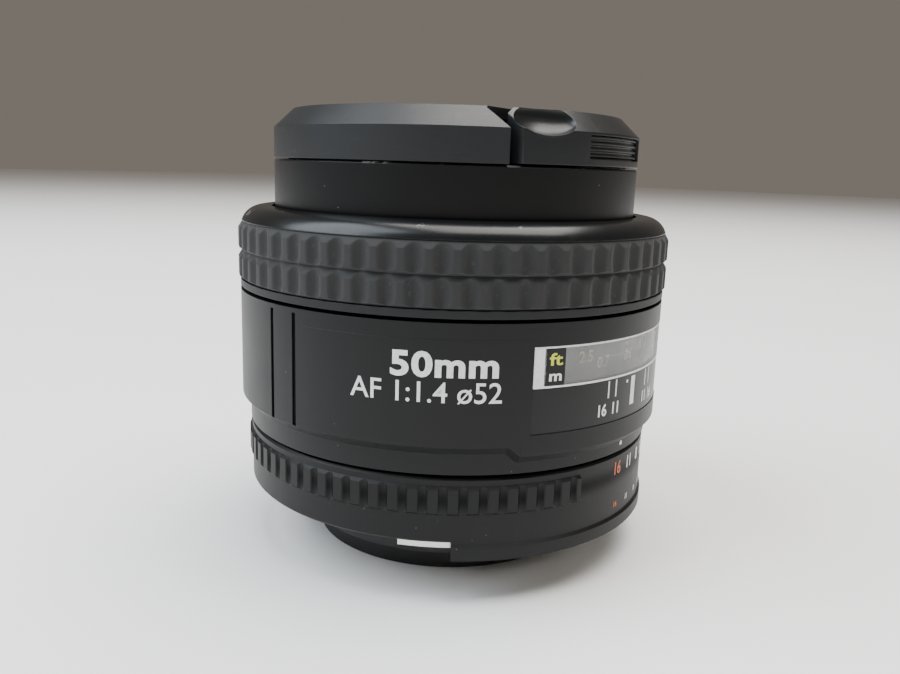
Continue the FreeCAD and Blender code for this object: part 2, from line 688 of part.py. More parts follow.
def rear_baffle():
    """Black light baffle inside the tube, and the foot that the lens stands on."""
    wall_top = FLANGE_TOP - S.baffle_inset
    wall_inner = S.tube_bore - S.baffle_wall
    body = turned_body("rear_baffle", [
        (S.baffle_bore, 0), (S.baffle_radius, 0), (S.baffle_radius, TUBE_END),
        (S.tube_bore, TUBE_END), (S.tube_bore, wall_top), (wall_inner, wall_top),
        (wall_inner, S.baffle_floor), (S.baffle_bore, S.baffle_floor),
    ])
    turned_cut(
        body,
        block(S.slot_inner, S.slot_inner + S.slot_width, -S.baffle_floor,
              S.baffle_floor + BEYOND),
        S.slot_start, S.slot_sweep,
    )
    hole = sink(body, S.contact_place, S.contact_start, S.contact_radius + S.contact_gap,
                S.baffle_floor, S.baffle_floor)
    ring_of(body, hole, S.contact_count, S.contact_pitch * (S.contact_count - 1))


def contacts():
    """Contact block and its separate pins."""
    turned_body(
        "contact_block",
        block(S.block_inner, S.block_inner + S.block_width, S.baffle_floor,
              S.baffle_floor + S.block_depth),
        S.block_start, S.block_sweep,
    )
    for number in range(whole(S.contact_count)):
        pin = document.addObject("Part::Cylinder", f"contact_pin_{number + 1}")
        pin.Label = f"contact_pin_{number + 1}"
        bind(pin, "Radius", S.contact_radius)
        bind(pin, "Height", S.baffle_floor - S.contact_recess)
        azimuth = S.contact_start.value + S.contact_pitch.value * number
        place_at(pin, S.contact_place, azimuth, S.contact_recess)
        keep(pin)


def rear_chassis():
    """Fixed drum on which the aperture ring turns, with a shelf for the casing."""
    groove_low = S.detent_height - S.detent_groove / 2
    groove_high = S.detent_height + S.detent_groove / 2
    body = turned_body("rear_chassis", [
        (S.chassis_bore, FLANGE_TOP), (S.drum_radius, FLANGE_TOP),
        (S.drum_radius, groove_low), (S.detent_floor, groove_low),
        (S.detent_floor, groove_high), (S.drum_radius, groove_high),
        (S.drum_radius, S.shelf_height), (S.shelf_radius, S.shelf_height),
        (S.shelf_radius, SHELF_TOP), (S.guide_radius, SHELF_TOP),
        (S.guide_radius, CHASSIS_FLOOR_TOP), (S.chassis_bore, CHASSIS_FLOOR_TOP),
    ])
    hole = sink(body, S.screw_place, S.screw_start, S.screw_radius,
                S.flange_plane + S.screw_sink + S.head_depth + S.screw_length,
                S.screw_length)
    ring_of(body, hole, S.screw_count)
    sink(body, S.shaft_place, S.shaft_azimuth, S.shaft_radius + S.shaft_gap,
         SHELF_TOP, SHELF_TOP - FLANGE_TOP)


def click_detent():
    """Click ball and its spring in the chassis groove."""
    ball = document.addObject("Part::Sphere", "click_ball")
    bind(ball, "Radius", S.detent_radius)
    place_at(ball, S.detent_reach, S.detent_azimuth, S.detent_height)
    keep(ball)
    outer = document.addObject("Part::Cylinder", "click_spring_outside")
    inner = document.addObject("Part::Cylinder", "click_spring_inside")
    bind(outer, "Radius", S.detent_radius)
    bind(inner, "Radius", S.detent_radius - S.spring_wall)
    for tube in (outer, inner):
        bind(tube, "Height", S.spring_height)
    spring = document.addObject("Part::Cut", "click_spring")
    spring.Base = outer
    spring.Tool = inner
    azimuth = S.detent_azimuth + S.spring_offset
    place_at(spring, S.detent_reach, azimuth, S.detent_height - S.spring_height / 2)
    keep(spring)


def guide_tube():
    """Fixed tube that guides the lens unit, and its two keys."""
    turned_body(
        "guide_tube", block(GUIDE_BORE, S.guide_radius, CHASSIS_FLOOR_TOP, S.guide_top)
    )
    for number, extra in enumerate((0, 180), start=1):
        turned_body(
            f"guide_key_{number}",
            block(GUIDE_BORE - S.key_depth, GUIDE_BORE, S.key_low, S.key_low + S.key_length),
            S.key_azimuth + extra - S.key_sweep / 2, S.key_sweep,
        )


def outer_casing():
    """Fixed outer shell with its bevel, seams, window opening and panel recess."""
    bevel_low = S.bevel_top - S.bevel_depth
    body = turned_body("outer_casing", [
        (S.shelf_radius, S.collar_bottom), (S.collar_radius, S.collar_bottom),
        (S.collar_radius, bevel_low), (S.casing_radius, S.bevel_top),
        (S.casing_radius, S.casing_top), (S.casing_bore, S.casing_top),
        (S.casing_bore, SHELF_TOP), (S.shelf_radius, SHELF_TOP),
    ])
    turned_add(
        body,
        [
            (S.casing_bore, bevel_low - S.bevel_drop),
            (S.collar_radius, bevel_low - S.bevel_drop),
            (S.casing_radius, S.bevel_top - S.bevel_drop),
            (S.casing_radius, S.bevel_top), (S.casing_bore, S.bevel_top),
        ],
        -S.bevel_reach, S.bevel_reach * 2,
    )
    past = S.casing_radius + BEYOND
    turned_cut(
        body, block(S.casing_bore - BURIED, past, S.window_bottom, S.window_top),
        -S.window_reach, S.window_reach * 2,
    )
    turned_cut(
        body, block(S.panel_seat, past, S.panel_bottom, S.window_top),
        -S.window_reach, S.window_reach * 2,
    )
    for step in (0, S.seam_step):
        turned_cut(
            body,
            block(S.casing_radius - S.seam_depth, past, S.bevel_top, S.casing_top - S.seam_margin),
            S.seam_azimuth + step, S.seam_sweep,
        )
    turned_body(
        "window_panel",
        block(S.panel_seat, S.casing_radius - S.panel_inset, S.panel_bottom, S.window_top),
        -S.window_reach, S.window_reach * 2,
    )


def focus_parts():
    """Focus ring, rubber, helicoid sleeve, distance scale and gear."""
    turned_body("focus_ring", [
        (S.sleeve_radius, FOCUS_BOTTOM), (S.focus_radius, FOCUS_BOTTOM),
        (S.focus_radius, GRIP_BOTTOM), (S.grip_seat, GRIP_BOTTOM),
        (S.grip_seat, S.grip_top), (S.shoulder_radius, S.grip_top),
        Bend(S.shoulder_round_radius, S.focus_top - S.shoulder_round_drop),
        (S.shoulder_inner, S.focus_top), (S.focus_bore, S.focus_top),
        (S.focus_bore, LIP_BOTTOM), (S.sleeve_radius, LIP_BOTTOM),
    ])
    low = GRIP_BOTTOM + S.grip_play
    high = S.grip_top - S.grip_play
    middle = (low + high) / 2
    edge = S.grip_radius - S.grip_edge_drop
    turned_body("rubber_grip", [
        (S.grip_seat, low), (edge, low), (S.grip_radius, low + S.grip_edge),
        (S.grip_radius, middle - S.grip_valley), (S.grip_radius - S.grip_valley, middle),
        (S.grip_radius, middle + S.grip_valley), (S.grip_radius, high - S.grip_edge),
        (edge, high), (S.grip_seat, high),
    ])
    inside = S.sleeve_radius - S.sleeve_wall
    helix = S.guide_radius + S.helix_gap
    turned_body("focus_helicoid", [
        (helix, S.sleeve_bottom), (S.sleeve_radius, S.sleeve_bottom),
        (S.sleeve_radius, LIP_BOTTOM), (inside, LIP_BOTTOM),
        (inside, S.helix_top), (helix, S.helix_top),
    ])
    turned_body(
        "distance_scale",
        block(S.sleeve_radius, S.sleeve_radius + S.drum_depth, S.drum_low, S.drum_top),
    )
    turned_body(
        "focus_gear",
        block(S.gear_bore, S.gear_bore + S.gear_wall, S.sleeve_bottom - S.gear_depth,
              S.sleeve_bottom),
    )


def drive_shaft():
    """Autofocus drive shaft with its coupling head and pinion, on its own axis."""
    head_low = S.flange_plane + S.coupler_sink
    neck = FLANGE_TOP - head_low
    pinion_low = SHELF_TOP + S.pinion_lift - head_low
    pinion_top = pinion_low + S.pinion_depth
    body = turned_body("af_drive_shaft", [
        (0, 0), (S.coupler_radius, 0), (S.coupler_radius, neck), (S.shaft_radius, neck),
        (S.shaft_radius, pinion_low), (S.pinion_radius, pinion_low),
        (S.pinion_radius, pinion_top), (0, pinion_top),
    ])
    sketch = sketch_on(body, "XY_Plane", lift=S.coupler_slot_depth)
    half = S.coupler_slot / 2
    wide = S.coupler_radius + 1
    draw_outline(sketch, [(-wide, -half), (wide, -half), (wide, half), (-wide, half)])
    pocket(body, sketch, S.coupler_slot_depth)
    place_at(body, S.shaft_place, S.shaft_azimuth, head_low)


def aperture_ring():
    """Ring with ribs, a plain scale area, the rear coupling ridge and the lock's recess."""
    chamfer = S.ring_chamfer
    body = turned_body("aperture_ring", [
        (S.ring_step_radius, S.ring_bottom), (S.ring_radius - chamfer, S.ring_bottom),
        (S.ring_radius, S.ring_bottom + chamfer), (S.ring_radius, S.ring_top - chamfer),
        (S.ring_radius - chamfer, S.ring_top), (S.ring_bore, S.ring_top),
        (S.ring_bore, RING_STEP_TOP), (S.ring_step_radius, RING_STEP_TOP),
    ])
    rib_top = S.rib_bottom + S.rib_length
    root = S.ring_radius - chamfer
    turned_add(
        body,
        [
            (root, S.rib_bottom), (S.ring_radius, S.rib_bottom),
            (S.rib_radius, S.rib_bottom + S.rib_slope), (S.rib_radius, rib_top - S.rib_slope),
            (S.ring_radius, rib_top), (root, rib_top),
        ],
        S.rib_start, S.rib_sweep,
    )
    turned_add(
        body,
        [
            (S.ridge_inner, S.ring_bottom - S.ridge_drop),
            (S.ridge_radius, S.ring_bottom - S.ridge_drop),
            (S.ridge_radius, S.ring_bottom - S.ridge_ledge),
            (S.ring_radius, S.ring_bottom - S.ridge_ledge + S.ridge_slope),
            (S.ring_radius, RING_STEP_TOP), (S.ridge_inner, RING_STEP_TOP),
        ],
        S.ridge_start, S.ridge_sweep,
    )
    turned_cut(
        body,
        block(S.lock_floor, S.ring_radius + BEYOND, S.lock_bottom,
              S.lock_bottom + S.lock_height),
        S.lock_start, S.lock_sweep,
    )
    pitch = S.rib_sweep / S.rib_count
    groove = sink(body, S.rib_groove_place, S.rib_start + pitch / 2, S.rib_groove_radius,
                  rib_top, S.rib_length)
    ring_of(body, groove, S.rib_count, S.rib_sweep - pitch)
    gap = S.lock_gap
    turned_body(
        "lock_slider",
        block(S.lock_floor + gap, S.lock_knob_radius, S.lock_bottom + gap,
              S.lock_bottom + S.lock_height - gap),
        S.lock_start + S.lock_play, S.lock_knob_sweep,
    )


def stop_down_lever():
    """Ring inside the chassis with the tab that the camera pushes."""
    low = CHASSIS_FLOOR_TOP + S.lever_lift
    high = low + S.lever_depth
    body = turned_body("stop_down_lever", block(S.lever_bore, S.lever_radius, low, high))
    outer = S.lever_tab_inner + S.lever_tab_wall
    turned_add(
        body, block(S.lever_tab_inner, S.lever_bore + S.lever_tab_wall, low, high),
        S.lever_azimuth, S.lever_tab_sweep,
    )
    turned_add(
        body, block(S.lever_tab_inner, outer, S.lever_tab_end, high),
        S.lever_azimuth, S.lever_tab_sweep,
    )


def element(label, edge, front, rear, front_clear, rear_clear, front_sag, rear_sag):
    """A lens element with flat rims; a sag bulges outward and a negative one is hollow."""
    return turned_body(label, [
        (0, rear - rear_sag), Dome(), (rear_clear, rear), (edge, rear),
        (edge, front), (front_clear, front), Dome(), (0, front + front_sag),
    ])


def lens_elements():
    """Seven elements in six groups; elements 4 and 5 are cemented."""
    element("lens_element_1", S.first_edge, S.first_front, S.first_rear,
            S.first_clear, S.first_clear, S.first_front_sag, -S.first_rear_sag)
    element("lens_element_2", S.second_edge, S.second_front, S.second_rear,
            S.second_clear, S.second_clear, S.second_front_sag, -S.second_rear_sag)
    element("lens_element_3", S.third_edge, S.third_front, S.third_rear,
            S.third_clear, S.third_rear_clear, S.third_front_sag, -S.third_rear_sag)
    cemented_pair()
    element("lens_element_6", S.rear_edge, S.sixth_front, S.sixth_rear,
            S.rear_clear, S.rear_clear, -S.sixth_front_sag, S.sixth_rear_sag)
    element("lens_element_7", S.rear_edge, S.seventh_front, S.seventh_rear,
            S.rear_clear, S.rear_clear, S.seventh_front_sag, S.seventh_rear_sag)


def cemented_pair():
    """Elements 4 and 5, which share one spherical surface."""
    front_vertex = S.iris_floor - S.doublet_front_sag
    joint_vertex = front_vertex - S.doublet_waist
    joint_rim = joint_vertex - S.doublet_joint_sag
    turned_body("lens_element_4", [
        (0, joint_vertex), Dome(), (S.doublet_edge, joint_rim),
        (S.doublet_edge, S.iris_floor), (S.doublet_front_clear, S.iris_floor), Dome(),
        (0, front_vertex),
    ])
    turned_body("lens_element_5", [
        (0, S.doublet_rear - S.doublet_rear_sag), Dome(),
        (S.doublet_rear_clear, S.doublet_rear), (S.doublet_edge, S.doublet_rear),
        (S.doublet_edge, joint_rim), Dome(), (0, joint_vertex),
    ])


def lens_barrels():
    """Filter barrel, front trim, carrier and the two lens cells."""
    chamfer = S.rim_chamfer
    turned_body("filter_barrel", [
        (S.barrel_bore, S.barrel_bottom), (S.barrel_radius, S.barrel_bottom),
        (S.barrel_radius, S.rim_top - chamfer), (S.barrel_radius - chamfer, S.rim_top),
        (S.thread_radius, S.rim_top), (S.thread_radius, THREAD_END),
        (S.barrel_bore, THREAD_END),
    ])
    turned_body("front_trim", [
        (S.first_clear, S.first_front), (S.first_edge, S.first_front),
        (S.first_edge, CELL_TOP), (S.barrel_bore, CELL_TOP), (S.barrel_bore, THREAD_END),
        (S.thread_radius, THREAD_END), (S.trim_slope_radius, S.trim_outer_height),
        (S.first_edge, S.trim_inner_height), (S.first_clear, S.trim_inner_height),
    ])
    carrier = turned_body("lens_carrier", [
        (S.carrier_bore, S.carrier_bottom), (S.carrier_radius, S.carrier_bottom),
        (S.carrier_radius, S.web_bottom), (S.barrel_bore, S.web_bottom),
        (S.barrel_bore, WEB_TOP), (S.carrier_bore, WEB_TOP),
    ])
    for extra in (0, 180):
        turned_cut(
            carrier,
            block(GUIDE_BORE - S.key_depth - S.key_gap, S.carrier_radius + BURIED,
                  S.carrier_bottom - BEYOND, S.web_bottom),
            S.key_azimuth + extra - S.key_sweep / 2 - S.key_side_gap,
            S.key_sweep + S.key_side_gap * 2,
        )
    second_ledge = S.second_edge - S.seat_ledge
    third_ledge = S.third_edge - S.third_seat_ledge
    step = (S.first_rear + S.second_front) / 2
    turned_body("front_cell", [
        (third_ledge, IRIS_TOP), (S.carrier_bore, IRIS_TOP), (S.carrier_bore, WEB_TOP),
        (S.cell_flange_radius, WEB_TOP), (S.cell_flange_radius, CELL_TOP),
        (S.first_edge, CELL_TOP), (S.first_edge, S.first_rear),
        (S.first_edge - S.seat_ledge, S.first_rear), (S.first_edge - S.seat_ledge, step),
        (S.second_edge, step), (S.second_edge, S.second_rear),
        (second_ledge, S.second_rear), (second_ledge, S.third_front),
        (S.third_edge, S.third_front), (S.third_edge, S.third_rear),
        (third_ledge, S.third_rear),
    ])
    pair_ledge = S.doublet_edge - S.seat_ledge
    flange_low = S.iris_floor - S.rear_cell_flange
    turned_body("rear_cell", [
        (S.doublet_edge, S.iris_floor), (S.doublet_edge, S.doublet_rear),
        (pair_ledge, S.doublet_rear), (pair_ledge, S.sixth_front),
        (S.rear_edge, S.sixth_front), (S.rear_edge, S.rear_cell_bottom),
        (S.rear_cell_radius, S.rear_cell_bottom), (S.rear_cell_radius, flange_low),
        (S.carrier_bore, flange_low), (S.carrier_bore, S.iris_floor),
    ])
    turned_body(
        "rear_spacer", block(S.rear_clear, S.rear_edge, S.seventh_front, S.sixth_rear)
    )
    retainer = turned_body(
        "rear_retaining_ring",
        block(S.rear_clear, S.rear_edge, S.rear_cell_bottom, S.seventh_rear),
    )
    notch = turned_cut(
        retainer,
        block(S.rear_clear - BURIED, S.rear_edge - S.ring_notch_wall,
              S.rear_cell_bottom - BURIED,
              S.rear_cell_bottom + S.ring_notch_depth),
        0, S.ring_notch_sweep,
    )
    ring_of(retainer, notch, 2)


def iris_parts():
    """Iris housing, its cover, the drive ring and the blades, closed to f/16."""
    top_inside = IRIS_TOP - S.iris_plate
    turned_body("iris_housing", [
        (S.iris_opening, S.iris_floor), (S.carrier_bore, S.iris_floor),
        (S.carrier_bore, IRIS_TOP), (S.iris_bore, IRIS_TOP),
        (S.iris_bore, S.iris_floor + S.iris_plate), (S.iris_opening, S.iris_floor + S.iris_plate),
    ])
    cover = turned_body(
        "iris_cover", block(S.iris_opening, S.iris_bore, top_inside, IRIS_TOP)
    )
    hole = sink(cover, S.pivot_place, 0, S.pivot_radius + S.pivot_gap, IRIS_TOP, S.iris_plate)
    ring_of(cover, hole, S.blade_count)
    ring = turned_body(
        "iris_drive_ring",
        block(S.actuator_bore, S.actuator_radius, ACTUATOR_LOW, ACTUATOR_TOP),
    )
    sketch = sketch_on(ring, "XY_Plane", turn=TURN_ORIGIN, lift=ACTUATOR_TOP)
    pin_place = S.pivot_place + S.tail_length
    reach = S.pivot_radius + S.slot_gap
    inner = pin_place - S.slot_before
    outer = pin_place + S.slot_after
    side = S.tail_length * sine(S.blade_closed)
    draw_outline(sketch, [
        (inner, side - reach), (outer, side - reach), Bend(outer + reach, side),
        (outer, side + reach), (inner, side + reach), Bend(inner - reach, side),
    ])
    slot = pocket(ring, sketch, S.actuator_depth)
    ring_of(ring, slot, S.blade_count)
    for number in range(whole(S.blade_count)):
        iris_blade(number)


def iris_blade(number):
    """One blade with its pivot pin above and its drive pin below, drawn about its pivot."""
    body = new_body(f"iris_blade_{number + 1}")
    level = ACTUATOR_TOP + S.blade_lift + S.blade_pitch * number
    far, middle = S.blade_reach, S.blade_reach / 2
    pivot = S.pivot_place
    band = sketch_on(body, "XY_Plane")
    draw_outline(band, [
        (S.blade_inner - pivot, 0), (S.blade_outer - pivot, 0),
        Bend(S.blade_outer * cosine(middle) - pivot, S.blade_outer * sine(middle)),
        (S.blade_outer * cosine(far) - pivot, S.blade_outer * sine(far)),
        (S.blade_inner * cosine(far) - pivot, S.blade_inner * sine(far)),
        Bend(S.blade_inner * cosine(middle) - pivot, S.blade_inner * sine(middle)),
    ])
    pad(body, band, S.blade_depth)
    tail = sketch_on(body, "XY_Plane")
    wide = S.tail_radius
    draw_outline(tail, [
        (S.blade_inner + BURIED - pivot, -wide), (S.tail_length, -wide),
        Bend(S.tail_length + wide, 0), (S.tail_length, wide),
        (S.blade_inner + BURIED - pivot, wide),
    ])
    pad(body, tail, S.blade_depth)
    pin = sketch_on(body, "XY_Plane")
    round_pin(pin, 0)
    pad(body, pin, IRIS_TOP - level - S.pivot_gap)
    drive = sketch_on(body, "XY_Plane", lift=S.blade_depth)
    round_pin(drive, S.tail_length)
    feature = pad(body, drive, level - ACTUATOR_LOW + S.blade_depth - S.pivot_gap)
    feature.Reversed = True
    azimuth = 360 * number / whole(S.blade_count)
    place_at(body, pivot, azimuth, level, S.blade_closed)
    keep(body)


def round_pin(sketch, across):
    """A pin's circle on the sketch's own X axis."""
    circle = Part.Circle(point_at(across, 0), FreeCAD.Vector(0, 0, 1), S.pivot_radius.value)
    sketch.addGeometry(circle, False)
    if isinstance(across, Size):
        sketch.addConstraint(Sketcher.Constraint("PointOnObject", 0, 3, -1))
        place = sketch.addConstraint(Sketcher.Constraint("DistanceX", -1, 1, 0, 3, across.value))
        bind(sketch, f"Constraints[{place}]", across)
    else:
        sketch.addConstraint(Sketcher.Constraint("Coincident", 0, 3, -1, 1))
    size = sketch.addConstraint(Sketcher.Constraint("Radius", 0, S.pivot_radius.value))
    bind(sketch, f"Constraints[{size}]", S.pivot_radius)


def rectangle_cut(body, left, right, half_width, low, high):
    """Cut a box across X, centred on Y, between two heights."""
    sketch = sketch_on(body, "XY_Plane", lift=high)
    draw_outline(sketch, [
        (left, -half_width), (right, -half_width), (right, half_width), (left, half_width),
    ])
    return pocket(body, sketch, high - low)


def front_cap():
    """Snap cap: shell with two bays, inner plate, and the two spring clips."""
    shell = turned_body("cap_shell", [
        (0, CAP_ROOF), (PLUG_BORE, CAP_ROOF), (PLUG_BORE, PLATE_LOW),
        (S.plug_radius, PLATE_LOW), (S.plug_radius, CAP_BASE), (S.cap_radius, CAP_BASE),
        (S.cap_radius, CAP_SIDE_TOP), (S.cap_top_radius, CAP_TOP), (0, CAP_TOP),
    ])
    turned_add(shell, block(0, S.boss_radius, PLATE_TOP, CAP_TOP - S.cap_top_depth / 2))
    bay = S.clip_chord - S.clip_travel - S.clip_clear
    bay_width = S.clip_half_width + S.clip_side_clear
    cap_edge = S.cap_radius + BEYOND
    plate = turned_body("cap_plate", block(0, PLUG_BORE, PLATE_LOW, PLATE_TOP))
    for body in (shell, plate):
        cut = rectangle_cut(body, bay, cap_edge, bay_width, PLATE_LOW - BURIED, CAP_TOP + BURIED)
        ring_of(body, cut, 2)
        place_at(body, 0, S.cap_azimuth, 0)
    for side, extra in (("a", 0), ("b", 180)):
        cap_clip(side, S.cap_azimuth + extra)


def cap_clip(side, azimuth):
    """One pinch clip with its press face, teeth and tongue, and its spring."""
    low = CAP_BASE + S.clip_base_gap
    clip = turned_body(f"cap_clip_{side}", [
        (0, low), (S.cap_radius, low), (S.cap_radius, CAP_SIDE_TOP),
        (S.cap_top_radius, CAP_TOP), (0, CAP_TOP),
    ])
    reach = S.cap_radius + BEYOND
    rectangle_cut(clip, -reach, S.clip_chord, reach, low - BURIED, CAP_TOP + BURIED)
    for sign in (1, -1):
        sketch = sketch_on(clip, "XY_Plane", lift=CAP_TOP + BURIED)
        near = S.clip_half_width * sign
        far = reach * sign
        draw_outline(sketch, [(0, near), (reach, near), (reach, far), (0, far)])
        pocket(clip, sketch, CAP_TOP - low + BURIED * 2)
    press = low + S.press_low
    turned_cut(
        clip, block(S.press_radius, reach, press, press + S.press_height),
        -S.press_sweep / 2 - TURN_ORIGIN, S.press_sweep,
    )
    tongue = sketch_on(clip, "XY_Plane", lift=CAP_BASE + S.tongue_low)
    half = S.tongue_half_width
    draw_outline(tongue, [
        (S.tongue_inner, -half), (S.clip_chord + BURIED, -half),
        (S.clip_chord + BURIED, half), (S.tongue_inner, half),
    ])
    pad(clip, tongue, S.tongue_depth)
    tooth_low = CAP_BASE - S.tooth_bottom
    turned_add(
        clip, block(S.plug_radius - S.tooth_wall, S.plug_radius, tooth_low, low + BURIED),
        -S.tooth_sweep / 2 - TURN_ORIGIN, S.tooth_sweep,
    )
    turned_add(
        clip,
        block(S.plug_radius - S.tooth_wall, S.tooth_radius, tooth_low,
              tooth_low + S.tooth_height),
        -S.tooth_sweep / 2 - TURN_ORIGIN, S.tooth_sweep,
    )
    place_at(clip, 0, azimuth, 0)
    cap_spring(side, azimuth)


def cap_spring(side, azimuth):
    """Spring between the cap's boss and a clip's tongue, as a closed sleeve."""
    outer = document.addObject("Part::Cylinder", f"cap_spring_{side}_outside")
    inner = document.addObject("Part::Cylinder", f"cap_spring_{side}_inside")
    bind(outer, "Radius", S.coil_radius)
    bind(inner, "Radius", S.coil_radius - S.coil_wall)
    start = S.boss_radius + S.coil_end_gap
    for tube in (outer, inner):
        bind(tube, "Height", S.tongue_inner - S.coil_end_gap - start)
    spring = document.addObject("Part::Cut", f"cap_spring_{side}")
    spring.Base = outer
    spring.Tool = inner
    height = CAP_BASE + S.tongue_low + S.tongue_depth / 2
    place_at(spring, start, azimuth, height)
    lie_down = FreeCAD.Rotation(FreeCAD.Vector(0, 1, 0), 90)
    spring.Placement.Rotation = spring.Placement.Rotation.multiply(lie_down)
    keep(spring)


def check_model():
    """Stop if a feature failed, a cut removed nothing or a shape is not a sound solid."""
    for item in document.Objects:
        if "Invalid" in item.State or "Error" in item.State:
            raise RuntimeError(f"{item.Label} failed: {item.State}")
    for body, feature in CUTS:
        before = feature.BaseFeature.Shape.Volume
        if not feature.Shape.Volume < before - 1e-4:
            raise RuntimeError(f"{feature.Label} cuts nothing")
    for item in PARTS:
        shape = item.Shape
        if shape.isNull() or not shape.isValid() or len(shape.Solids) != 1:
            raise RuntimeError(f"{item.Label} has no sound solid")


def write_steps():
    """Write each sub-part to its own file."""
    os.makedirs("parts", exist_ok=True)
    for item in PARTS:
        item.Shape.exportStep(f"parts/{item.Label}.step")


bayonet_mount()
mount_screws()
rear_baffle()
contacts()
rear_chassis()
click_detent()
guide_tube()
outer_casing()
focus_parts()
drive_shaft()
aperture_ring()
stop_down_lever()
lens_barrels()
lens_elements()
iris_parts()
front_cap()
document.recompute()
check_model()
write_steps()
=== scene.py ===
"""Looks of a 50 mm autofocus prime lens that stands on its rear end with its front cap on."""

import json
import logging
import math
from dataclasses import dataclass
from enum import Enum
from typing import Any, Iterable, Optional, Sequence, Union

import bmesh
import bpy
from mathutils import Matrix, Vector

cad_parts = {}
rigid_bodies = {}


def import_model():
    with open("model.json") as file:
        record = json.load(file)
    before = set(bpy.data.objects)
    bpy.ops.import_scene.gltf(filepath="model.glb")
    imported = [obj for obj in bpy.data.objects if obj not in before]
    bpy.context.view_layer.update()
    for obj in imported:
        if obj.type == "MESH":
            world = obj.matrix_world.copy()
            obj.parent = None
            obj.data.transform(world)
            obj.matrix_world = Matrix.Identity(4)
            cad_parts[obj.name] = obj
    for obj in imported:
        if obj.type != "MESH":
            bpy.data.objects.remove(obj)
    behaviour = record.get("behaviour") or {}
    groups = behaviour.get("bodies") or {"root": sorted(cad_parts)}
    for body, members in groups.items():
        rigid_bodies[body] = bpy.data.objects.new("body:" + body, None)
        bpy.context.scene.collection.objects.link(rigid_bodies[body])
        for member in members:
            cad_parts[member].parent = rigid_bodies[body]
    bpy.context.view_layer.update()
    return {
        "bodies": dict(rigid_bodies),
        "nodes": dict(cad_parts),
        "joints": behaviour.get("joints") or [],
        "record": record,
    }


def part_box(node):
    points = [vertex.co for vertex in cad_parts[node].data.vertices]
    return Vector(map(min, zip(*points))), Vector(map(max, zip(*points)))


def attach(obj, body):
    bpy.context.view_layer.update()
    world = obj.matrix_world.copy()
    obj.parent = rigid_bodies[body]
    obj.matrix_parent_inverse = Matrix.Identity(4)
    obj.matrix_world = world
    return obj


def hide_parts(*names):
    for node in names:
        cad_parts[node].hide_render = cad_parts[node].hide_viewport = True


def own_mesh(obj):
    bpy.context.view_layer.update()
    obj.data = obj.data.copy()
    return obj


LOG = logging.getLogger("prime_lens")

MM = 0.001
AROUND = 360.0

Point = tuple[float, float]
Colour = tuple[float, float, float, float]


def degrees_to_point(radius: float, azimuth: float, height: float) -> Vector:
    """Place of a point given round the optical axis.

    Args:
        radius: Distance from the axis in metres.
        azimuth: Degrees from -Y towards +X.
        height: Height in metres.

    Returns:
        The point in the frame.
    """
    angle = math.radians(azimuth)
    return Vector((radius * math.sin(angle), -radius * math.cos(angle), height))


@dataclass(frozen=True)
class Extent:
    """Height range and outer radius of a round CAD node, in metres."""

    low: float
    high: float
    radius: float

    @classmethod
    def of(cls, node: str) -> "Extent":
        """Read the extent of a CAD node from the frame.

        Args:
            node: Name of the CAD node.

        Returns:
            Its lowest and highest heights and the largest distance from the axis.
        """
        least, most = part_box(node)
        mesh = bpy.data.objects[node].data
        reach = max(math.hypot(v.co.x, v.co.y) for v in mesh.vertices)
        return cls(least.z, most.z, reach)


# ---------------------------------------------------------------------------
# Shader maths
# ---------------------------------------------------------------------------


class Field:
    """A value that changes over a surface; arithmetic on it adds Math nodes."""

    def __init__(self, recipe: "Recipe", socket: bpy.types.NodeSocket) -> None:
        """Wrap one output socket of a recipe."""
        self.recipe = recipe
        self.socket = socket

    def math(self, operation: str, *others: "Value", clamp: bool = False) -> "Field":
        """Apply a Math node to this value.

        Args:
            operation: The Math node's operation.
            others: Its remaining inputs.
            clamp: Whether the result is held between 0 and 1.

        Returns:
            The result.
        """
        settings = {"operation": operation, "use_clamp": clamp}
        return self.recipe.node("ShaderNodeMath", settings, dict(enumerate((self, *others))))

    def _swapped(self, operation: str, other: "Value") -> "Field":
        """Apply a Math node with this value as its second input."""
        return self.recipe.node("ShaderNodeMath", {"operation": operation}, {0: other, 1: self})

    def __add__(self, other: "Value") -> "Field":
        """Sum."""
        return self.math("ADD", other)

    def __radd__(self, other: "Value") -> "Field":
        """Reflected sum."""
        return self._swapped("ADD", other)

    def __sub__(self, other: "Value") -> "Field":
        """Difference."""
        return self.math("SUBTRACT", other)

    def __rsub__(self, other: "Value") -> "Field":
        """Reflected difference."""
        return self._swapped("SUBTRACT", other)

    def __mul__(self, other: "Value") -> "Field":
        """Product."""
        return self.math("MULTIPLY", other)

    def __rmul__(self, other: "Value") -> "Field":
        """Reflected product."""
        return self._swapped("MULTIPLY", other)

    def ramp(self, low: float, high: float) -> "Field":
        """Smooth step from 0 at low to 1 at high; low may be the larger.

        Args:
            low: Value where the result is 0.
            high: Value where the result is 1.

        Returns:
            The stepped value.
        """
        if low < high:
            return self.recipe.node(
                "ShaderNodeMapRange", {"interpolation_type": "SMOOTHSTEP"},
                {0: self, 1: low, 2: high, 3: 0.0, 4: 1.0},
            )
        return 1.0 - self.ramp(high, low)

    def band(self, middle: float, half: float) -> "Field":
        """Soft bump that is 1 at a value and 0 beyond a distance from it."""
        return (self - middle).math("ABSOLUTE").ramp(half, 0.0)


Value = Union[Field, float]


